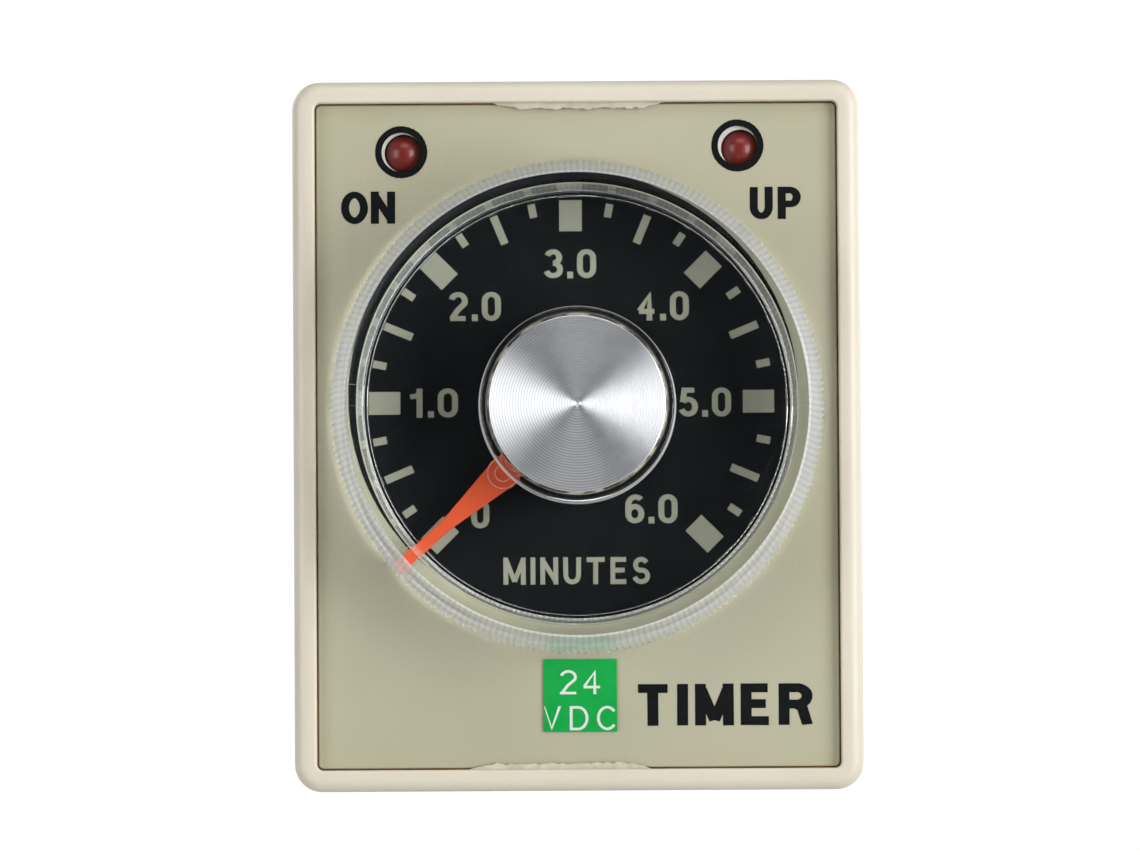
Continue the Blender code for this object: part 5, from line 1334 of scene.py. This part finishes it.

# %% [markdown]
# ## The turned metal cap
# The cap is aluminium faced on a lathe, and the tool has left rings a fifth of a millimetre apart.
# The shader's anisotropy stretches each reflection outward from the axis, which makes the bow tie.
# Anisotropy alone gives a smooth fan, so real ridges, raised by a tree on a finely divided disc, and
# painted shade, darker on one flank of each, draw the single lines into it.

# %% Turn the cap
cap_low, cap_high = box_mm("knob_cap")
CAP_FACE = cap_low.y - RIM_FRONT
CAP_REAR = cap_high.y - RIM_FRONT
CAP_RADIUS = (cap_high.x - cap_low.x) / 2
RING_PITCH = 0.19
RING_HEIGHT = 0.014
RING_STEPS = 6

spun = Finish("spun_aluminium", (0.90, 0.91, 0.95), 0.43, 1.0, Anisotropic=0.78)
spun.polish(spun.ranged(spun.noise(0.8), 0.41, 0.45))
level_way = spun.node("VectorMath", operation="MULTIPLY")
level_way.inputs[1].default_value = (1.0, 0.0, 1.0)
spun.link(spun.from_dial(), level_way.inputs[0])
out_from_axis = spun.node("VectorMath", operation="LENGTH")
spun.link(level_way.outputs[0], out_from_axis.inputs[0])
ring_wave = spun.sine(out_from_axis.outputs["Value"], 2 * math.pi / (RING_PITCH * MM))
# Painted shade: a darker band in the colour of each turned ring.
painted_ring_shade = spun.ranged(ring_wave, 0.0, 1.0, -0.8, 0.5)
spun.paint(spun.blend(painted_ring_shade, (0.76, 0.77, 0.83), (0.99, 1.0, 1.0)))
turned_way = spun.node("VectorTransform", vector_type="VECTOR", convert_from="OBJECT", convert_to="WORLD")
spun.link(level_way.outputs[0], turned_way.inputs[0])
spun.link(turned_way.outputs[0], spun.shader.inputs["Tangent"])


def ridge_tree():
    """Raises round ridges on the faces of a disc: pitch, height, and the radius they stop at."""
    tree = Tree("ridges", Pitch=0.0002, Height=0.00002, Stop=0.006, Face=0.0, Axis=(0.0, 0.0, 0.0),
                Finish=None)
    _, y, _, radius = tree.from_axis()
    phase = tree.math("FRACT", tree.math("DIVIDE", radius, tree.given("Pitch")))
    arch = tree.math("MULTIPLY", tree.math("MULTIPLY", phase, tree.math("SUBTRACT", 1.0, phase)), 4.0)
    inside = tree.math("LESS_THAN", radius, tree.given("Stop"))
    front = tree.math("LESS_THAN", y, tree.given("Face"))
    rise = tree.math("MULTIPLY", tree.math("MULTIPLY", arch, tree.given("Height")),
                     tree.math("MULTIPLY", inside, front))
    tree.finish(tree.shifted_by(tree.point(0.0, tree.math("MULTIPLY", rise, -1.0), 0.0)))
    return tree


ring_count = int((CAP_RADIUS - 0.05) / RING_PITCH)
cap_profile = [(0.0, CAP_FACE + 0.14), (0.12, CAP_FACE + 0.1), (0.26, CAP_FACE + 0.02)]
for step in range(2 * RING_STEPS, ring_count * RING_STEPS + 1):
    cap_profile.append((step * RING_PITCH / RING_STEPS, CAP_FACE + 0.02))
cap_profile += [(CAP_RADIUS - 0.02, CAP_FACE + 0.04), (CAP_RADIUS, CAP_FACE + 0.07)]
cap_profile += [(CAP_RADIUS, CAP_REAR), (0.0, CAP_REAR)]
cap = new_piece("spun_cap", turned(cap_profile, 180, DIAL_AXIS), None)
cap_axis = Vector((DIAL_AXIS[0], RIM_FRONT + CAP_FACE, DIAL_AXIS[1])) * MM
grown(cap, ridge_tree(), 60.0, Pitch=RING_PITCH * MM, Height=RING_HEIGHT * MM,
      Stop=(ring_count * RING_PITCH + 0.001) * MM, Face=0.03 * MM, Axis=cap_axis, Finish=spun.material)
finish_piece(cap, "dial", "spun_cap", "knob_cap")

# %% [markdown]
# ## The painted ring round the cap
# The cap is glued in. A thin turned ring fills the moat between it and the collar, painted dark for
# the moat's shade, with pale patches that are painted glints. One turned ring is enough, with the
# unevenness in its colour and relief.

# %% Lay the ring in the moat
moat_shade_and_glints = Finish("cap_adhesive", (0.30, 0.24, 0.14), 0.3, Coat_Weight=0.6, Coat_Roughness=0.1)
painted_glint_patches = moat_shade_and_glints.ranged(moat_shade_and_glints.noise(1.1), 0.0, 1.0, 0.42, 0.6)
# Painted shade, dark for the moat, with pale patches of painted glints.
moat_shade_and_glints.paint(moat_shade_and_glints.blend(painted_glint_patches, (0.03, 0.026, 0.02), (0.52, 0.46, 0.33)))
moat_shade_and_glints.bump(moat_shade_and_glints.noise(0.3), 0.03)
moat_ring_profile = [(CAP_RADIUS + 0.02, CAP_SEAT - 0.02), (CAP_RADIUS + 0.02, CAP_FACE + 0.16)]
moat_ring_profile += [(CAP_RECESS - 0.02, CAP_FACE + 0.24), (CAP_RECESS - 0.02, CAP_SEAT - 0.02)]
finish_piece(new_piece("cap_bead", turned(moat_ring_profile, 96, DIAL_AXIS), moat_shade_and_glints), "dial", "clear_knob")

# %% [markdown]
# ## The paper label on the side
# The side carries a white paper label with a plain wiring diagram: eight pins on a circle, the coil
# between pins 2 and 7, and two change-over contacts. The sheet is a slab with rounded corners. A
# picture could carry the diagram, but the pen that wrote the front draws it just as well.

# %% Stick on the sheet
side_low, side_high = box_mm("wiring_label")
SHEET_FACE = side_high.x - 0.02
SHEET_MIDDLE = ((side_low.y + side_high.y) / 2 - RIM_FRONT, (side_low.z + side_high.z) / 2)
SHEET_LENGTH, SHEET_HEIGHT = side_high.y - side_low.y, side_high.z - side_low.z

paper_white = moulded("label_paper", (0.80, 0.80, 0.755), (0.745, 0.74, 0.68), 0.46, patch=7.0,
                      grain=0.09, relief=0.002)
label_ink = moulded("label_ink", (0.018, 0.018, 0.020), (0.035, 0.035, 0.037), 0.5, patch=1.0,
                    grain=0.08, relief=0.001)


def on_side(across, up):
    """Places strokes on the case's right side, with the front of the timer to the left."""
    def place(along, rise, height):
        depth = RIM_FRONT + SHEET_MIDDLE[0] + across + along
        return (SHEET_FACE + 0.012 * height - 0.002, depth, SHEET_MIDDLE[1] + up + rise)
    return place


def slab(first, second):
    """A closed body between two outlines, each a list of points in the frame."""
    shape = bmesh.new()
    rings = [[shape.verts.new(point) for point in outline] for outline in (first, second)]
    for ring in rings:
        shape.faces.new(ring)
    for i in range(len(first)):
        j = (i + 1) % len(first)
        shape.faces.new((rings[0][i], rings[0][j], rings[1][j], rings[1][i]))
    bmesh.ops.recalc_face_normals(shape, faces=shape.faces)
    return shape


sheet_outline = rounded_outline(SHEET_LENGTH, SHEET_HEIGHT, 1.2, 6, SHEET_MIDDLE)
sheet_faces = [[(x, RIM_FRONT + depth, z) for depth, z in sheet_outline]
               for x in (side_low.x - 0.03, SHEET_FACE)]
sheet = new_piece("side_label", slab(*sheet_faces), paper_white)
finish_piece(sheet, "case", "white_label", "wiring_label")

# %% Draw the wiring diagram
DIAGRAM_PEN = 0.26
SOCKET_CIRCLE = 10.6
PIN_DOT_CIRCLE = 8.4
WIRE_END_CIRCLE = 7.7
NUMBER_AT = 12.2
DIAGRAM_AT = (3.0, 1.1)


def inked(*points):
    """A pen line through points, as strokes."""
    return [(a.x, a.y, b.x, b.y) for a, b in stroke(list(points), DIAGRAM_PEN)]


def at_pin(number, radius):
    """A place on the pin circle, counted clockwise from the key at the bottom."""
    angle = math.radians(22.5 + 45 * (number - 1))
    return (-radius * math.sin(angle), -radius * math.cos(angle))


diagram = [inked(*bow(0.0, 0.0, SOCKET_CIRCLE, SOCKET_CIRCLE, -84, 264, 60)),
           inked((-1.1, -10.5), (-1.1, -9.2), (1.1, -9.2), (1.1, -10.5))]
for pin in range(1, 9):
    x, z = at_pin(pin, PIN_DOT_CIRCLE)
    diagram.append(inked(*bow(x, z, 0.6, 0.6, 0, 360, 20)))
(x1, z1), (x2, z2), (x3, z3), (x4, z4) = [at_pin(pin, WIRE_END_CIRCLE) for pin in (1, 2, 3, 4)]
wires = [[(-x2, z2), (2.6, z2)], [(-x1, z1), (1.6, -5.6), (4.4, -5.0), (4.4, 0.2), (3.2, 2.6)],
         [(-x3, z3), (5.0, z3), (5.0, 2.2)], [(-x4, z4), (2.6, 4.4), (2.6, 2.9)],
         [(2.15, 3.6), (2.6, 2.9), (3.05, 3.6)]]
for side in (-1, 1):
    diagram += [inked(*[(side * x, z) for x, z in wire]) for wire in wires]
coil_box = [(-2.6, z2 - 1.0), (2.6, z2 - 1.0), (2.6, z2 + 1.0), (-2.6, z2 + 1.0)]
diagram.append(inked(*coil_box, coil_box[0]))
finish_piece(pressed("wiring_diagram", diagram, label_ink, on_side(*DIAGRAM_AT), 0.0), "case", "white_label")

# %% Write on the sheet
for pin in range(1, 9):
    x, z = at_pin(pin, NUMBER_AT)
    if pin in (4, 5):
        x, z = math.copysign(4.75, x), 5.6
    digit = drawn(str(pin), 1.9, 0.3, 0.9 if pin == 1 else 1.15)
    place = on_side(DIAGRAM_AT[0] + x, DIAGRAM_AT[1] + z)
    piece = pressed(f"diagram_number_{pin}", digit, label_ink, place, 0.0)
    finish_piece(piece, "case", "white_label")
for word, wide, up in (("24", 2.8, 3.2), ("VDC", 4.6, 0.0)):
    strokes = drawn(word, 2.1, 0.34, wide, 0.3, 0.35)
    piece = pressed("side_" + word.lower(), strokes, label_ink, on_side(-12.4, up), 0.0)
    finish_piece(piece, "case", "white_label")

# %% [markdown]
# ## The octal plug base
# The base snaps into the case from behind. It is black phenolic: a plate with a chamfered rear edge,
# a hollow for each pin, a shallow ring that carries raised pin numbers, and a central spigot whose
# key lets the plug go in one way only. Sweeps and turnings cover it all, joined into one piece.

# %% Name the base's sizes
BASE_WIDTH = BODY_WIDTH - 2 * WALL - 0.3
BASE_HEIGHT = BODY_HEIGHT - 2 * WALL - 0.3
BASE_THICKNESS = 5.0
pin_boxes = [box_mm(f"pin_{number}") for number in range(1, 9)]
PIN_PLACES = [((low.x + high.x) / 2, (low.z + high.z) / 2) for low, high in pin_boxes]
PIN_CIRCLE = math.hypot(*PIN_PLACES[0])
NUMBER_CIRCLE = 13.7
SPIGOT_RADIUS = 3.93
KEY_REACH = 5.2
KEY_ROOT = -3.0
KEY_WIDTH = 2.2
CATCH_HALF = 2.3
CATCH_PROUD = 1.25

phenolic = moulded("black_phenolic", (0.016, 0.016, 0.017), (0.028, 0.027, 0.027), 0.34, patch=5.0,
                   grain=0.1, relief=0.004)
fleck = phenolic.ranged(phenolic.noise(0.22, 1.0), 0.0, 1.0, 0.70, 0.76)
phenolic.paint(phenolic.blend(fleck, (0.019, 0.019, 0.020), (0.05, 0.048, 0.045)))
print("pin circle radius:", round(PIN_CIRCLE, 2))

# %% Mould the base
def base_plate():
    """The plate, swept from its inner face to its chamfered rear edge."""
    layers = []
    for inset, depth in ((0.2, -BASE_THICKNESS), (0.0, 0.2 - BASE_THICKNESS), (0.0, -0.45),
                         (0.12, -0.12), (0.45, 0.0)):
        outline = rounded_outline(BASE_WIDTH - 2 * inset, BASE_HEIGHT - 2 * inset, 1.0)
        layers.append((outline, CASE_DEPTH + depth))
    return lofted(layers)


def spigot_and_key():
    """The centre post with its rounded tip, and the key along its lower side."""
    profile = [(0.0, -0.8), (SPIGOT_RADIUS + 0.25, -0.8), (SPIGOT_RADIUS + 0.25, -0.02)]
    profile += [(SPIGOT_RADIUS + 0.07, 0.07), (SPIGOT_RADIUS, 0.25), (SPIGOT_RADIUS, 12.9)]
    profile += [(SPIGOT_RADIUS - 0.2, 13.35), (SPIGOT_RADIUS - 0.75, 13.9), (SPIGOT_RADIUS - 1.0, 14.0)]
    profile += [(1.6, 14.0), (1.45, 13.7), (0.0, 13.6)]
    post = turned([(radius, CASE_DEPTH + depth) for radius, depth in profile], 72)
    half, corner = KEY_WIDTH / 2, KEY_WIDTH / 2 - 0.2
    layers = []
    for rise, depth in ((0.0, -0.8), (0.0, 11.6), (0.25, 12.1), (0.85, 12.5)):
        low = -KEY_REACH + rise
        outline = [(-half, KEY_ROOT), (-half, low + 0.2), (-corner, low), (corner, low)]
        outline += [(half, low + 0.2), (half, KEY_ROOT)]
        layers.append((outline, CASE_DEPTH + depth))
    return post, lofted(layers)


def catches():
    """Four snap wedges that show in the case's side windows."""
    half, front, back = BASE_WIDTH / 2, CASE_DEPTH - 3.6, CASE_DEPTH - 1.8
    found = []
    wedge = [(half - 1, front), (half, front), (half + CATCH_PROUD, front + CATCH_PROUD)]
    wedge += [(half + CATCH_PROUD, back), (half - 1, back)]
    for side in (-1, 1):
        for z in CATCH_HEIGHTS:
            ends = [[(side * x, RIM_FRONT + depth, z + end) for x, depth in wedge]
                    for end in (-CATCH_HALF, CATCH_HALF)]
            found.append(slab(*ends))
    return found


band = [(NUMBER_CIRCLE - 1.5, -0.35), (NUMBER_CIRCLE + 1.5, -0.35)]
band += [(NUMBER_CIRCLE + 1.6, 1.0), (NUMBER_CIRCLE - 1.6, 1.0)]
base_cutters = [turned([(radius, CASE_DEPTH + depth) for radius, depth in band], 96)]
for x, z in PIN_PLACES:
    hollow = [(0.0, -0.7), (1.75, -0.7), (2.0, 1.0), (0.0, 1.0)]
    base_cutters.append(turned([(radius, CASE_DEPTH + depth) for radius, depth in hollow], 40, (x, z)))
base = carved(new_piece("plug_base", base_plate(), phenolic), base_cutters)
whole = joined([*spigot_and_key(), *catches()])
bmesh.ops.transform(whole, matrix=Matrix.Scale(MM, 4), verts=whole.verts)
whole.from_mesh(base.data)
whole.to_mesh(base.data)
whole.free()
shaded(base.data, 35.0)
finish_piece(base, "case", "black_base", "octal_base")


def on_back(x, z):
    """Places strokes on the floor of the number ring, to be read from behind."""
    def place(across, up, height):
        return (x - across, RIM_FRONT + CASE_DEPTH - 0.38 + 0.28 * height, z + up)
    return place


for number, (x, z) in enumerate(PIN_PLACES, 1):
    share = NUMBER_CIRCLE / PIN_CIRCLE
    digit = drawn(str(number), 1.9, 0.32, 0.9 if number == 1 else 1.2)
    raised = pressed(f"base_number_{number}", digit, phenolic, on_back(x * share, z * share), 0.0)
    finish_piece(raised, "case", "black_base")

# %% [markdown]
# ## Eight pins on a circle
# Each pin is a plated tube with a rounded tip and a shoulder inside the base. Eight equal pins at even
# angles are a clear case for Geometry Nodes: one turned pin goes in, and the tree places a copy
# at each point of the circle. It takes the count, the circle's radius and the first angle as inputs.

# %% Place the pins
PIN_RADIUS = 1.18


def pin_circle_tree():
    """Copies of the incoming shape on a circle: count, radius, first angle and centre."""
    tree = Tree("pin_circle", Count=8, Radius=0.0087, First=0.0, Centre=(0.0, 0.0, 0.0), Finish=None)
    points, _ = tree.circle_points(tree.math("DIVIDE", 2 * math.pi, tree.given("Count")))
    placed = tree.node("GeometryNodeInstanceOnPoints")
    tree.link(points, placed.inputs["Points"])
    tree.link(tree.given("Geometry"), placed.inputs["Instance"])
    tree.finish(placed.outputs[0])
    return tree


def pin_profile():
    """The pin's section, from its tail on the board to the soldered tip."""
    tail, tip = pin_boxes[0][0].y - RIM_FRONT, pin_boxes[0][1].y - RIM_FRONT
    profile = [(0.0, tail), (0.6, tail), (0.6, CASE_DEPTH - 4.9), (1.8, CASE_DEPTH - 4.9)]
    profile += [(1.8, CASE_DEPTH - 4.1), (PIN_RADIUS, CASE_DEPTH - 4.1), (PIN_RADIUS, CASE_DEPTH - 0.2)]
    for angle in range(0, 76, 15):
        turn = math.radians(angle)
        profile.append((PIN_RADIUS - 0.75 * (1 - math.cos(turn)), tip - 0.95 + 0.95 * math.sin(turn)))
    return profile + [(0.45, tip), (0.36, tip - 0.12), (0.0, tip - 0.04)]


tinned = metal("tinned_brass", (0.74, 0.72, 0.68), 0.30, patch=6.0, scratch=(1.0, 0.1, 1.0),
               depth=0.00004)
one_pin = new_piece("plug_pins", turned(pin_profile(), 40), None)
first_angle = math.atan2(PIN_PLACES[0][1], PIN_PLACES[0][0])
grown(one_pin, pin_circle_tree(), Count=8, Radius=PIN_CIRCLE * MM, First=first_angle, Finish=tinned.material)
finish_piece(one_pin, "case", "pin_metal", *[f"pin_{number}" for number in range(1, 9)])

# %% [markdown]
# ## Finishes for what is inside
# The boards, the relay and the small parts are hidden, but they show in cut-away views, and they keep
# their measured shapes. Each one gets a finish of its own kind: laminate, enamelled wire, dipped
# capacitor, stamped brass. New pieces would add nothing here, so the finish goes straight into the
# node's material slot.

# %% Mix the hidden finishes
def give(finish, *names):
    """Puts a finish in each measured node's material slot."""
    for name in names:
        nodes[name].material_slots[0].material = finish.material
    print(finish.material.name, "on", ", ".join(names))


def stripes(finish, pitch, axis, colour, second, depth, share=0.5):
    """Bands along an axis, pitch millimetres apart, in colour and in relief."""
    mapping = finish.node("Mapping", Scale=tuple(1000.0 / pitch if i == axis else 0.0 for i in range(3)))
    finish.link(finish.place, mapping.inputs["Vector"])
    apart = finish.node("SeparateXYZ")
    finish.link(mapping.outputs["Vector"], apart.inputs[0])
    wave = finish.node("Math", operation="PINGPONG")
    wave.inputs[1].default_value = 0.5
    finish.link(apart.outputs[axis], wave.inputs[0])
    band_share = finish.ranged(wave.outputs[0], 0.0, 1.0, share - 0.2, share + 0.2)
    finish.paint(finish.blend(band_share, colour, second))
    finish.bump(band_share, depth)


laminate = moulded("green_laminate", (0.018, 0.13, 0.045), (0.03, 0.19, 0.07), 0.38, patch=2.2,
                   grain=0.35, relief=0.01, Coat_Weight=0.5, Coat_Roughness=0.15)
brown_laminate = moulded("brown_laminate", (0.20, 0.105, 0.045), (0.15, 0.075, 0.03), 0.5, patch=3.0,
                         grain=0.2, relief=0.004)
epoxy = moulded("black_epoxy", (0.018, 0.018, 0.020), (0.03, 0.03, 0.033), 0.5, patch=1.5,
                grain=0.14, relief=0.008)
blue_plastic = moulded("blue_plastic", (0.025, 0.11, 0.42), (0.035, 0.15, 0.48), 0.38, patch=2.0)
white_plastic = moulded("white_plastic", (0.76, 0.76, 0.72), (0.70, 0.69, 0.64), 0.42, patch=2.0)
dipped = moulded("yellow_dip", (0.66, 0.42, 0.05), (0.56, 0.34, 0.04), 0.26, patch=1.8, grain=0.5,
                 relief=0.02, Coat_Weight=0.6, Coat_Roughness=0.1)
steel = metal("zinc_steel", (0.54, 0.55, 0.57), 0.36, patch=1.4)
turned_brass = metal("turned_brass", (0.72, 0.52, 0.24), 0.28, scratch=(1.0, 9.0, 1.0))
stamped_brass = metal("stamped_brass", (0.74, 0.55, 0.25), 0.34, scratch=(8.0, 1.0, 1.0))
spring_copper = metal("spring_copper", (0.70, 0.36, 0.20), 0.32, scratch=(1.0, 1.0, 9.0))

sleeve = Finish("shrunk_sleeve", (0.015, 0.045, 0.19), 0.28, Coat_Weight=0.4, Coat_Roughness=0.12)
stripes(sleeve, 4.2, 2, (0.012, 0.04, 0.18), (0.34, 0.38, 0.46), 0.004, 0.44)
coat = Finish("banded_coat", (0.52, 0.40, 0.26), 0.5)
stripes(coat, 2.1, 1, (0.55, 0.43, 0.28), (0.16, 0.07, 0.03), 0.01, 0.40)
winding = Finish("enamelled_wire", (0.55, 0.19, 0.08), 0.3, 0.85, Coat_Weight=0.5, Coat_Roughness=0.15)
# The darker bands between the turns of wire are painted shade in the grooves.
stripes(winding, 0.16, 1, (0.62, 0.24, 0.10), (0.26, 0.08, 0.035), 0.05)

smoke = Finish("smoke_plastic", (0.50, 0.52, 0.54), 0.09, Transmission_Weight=0.85, IOR=1.49)
smoke.paint(smoke.blend(smoke.noise(6.0), (0.46, 0.48, 0.50), (0.56, 0.58, 0.60)))
smoke.polish(smoke.ranged(smoke.noise(1.5), 0.06, 0.16))
smoke.bump(smoke.noise(0.3), 0.002)
print("hidden finishes ready")

# %% Hand them out
give(turned_brass, "pot_shaft")
give(nickel, "pot_wiper", "pot_bushing", "pot_nut", "relay_return_spring")
give(steel, "pot_case", "pot_washer", "relay_core", "relay_yoke", "relay_armature")
give(brown_laminate, "pot_wafer")
give(laminate, "front_board", "main_board", "rear_board")
give(epoxy, "timer_ic", "driver_transistor", "freewheel_diode", "relay_base")
give(blue_plastic, "trimmer_body")
give(white_plastic, "trimmer_rotor", "timing_capacitor", "relay_bobbin", "relay_contact_block")
give(sleeve, "smoothing_capacitor")
give(dipped, "film_capacitor")
give(coat, "power_resistor")
give(winding, "relay_winding")
give(smoke, "relay_cover")
give(spring_copper, "relay_blade_1", "relay_blade_2")
give(stamped_brass, *[f"relay_fixed_{kind}_{side}" for kind in ("nc", "no") for side in (1, 2)])

# %% [markdown]
# ## The size
# Both boxes, the measured one and the finished one, are printed in millimetres.

# %% Print the two boxes
visual_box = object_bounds()
sizes = {"cad": [list(corner) for corner in cad_box], "visual": [list(corner) for corner in visual_box]}
for label, (low, high) in sizes.items():
    print(label, [round(1000 * (b - a), 2) for a, b in zip(low, high)])
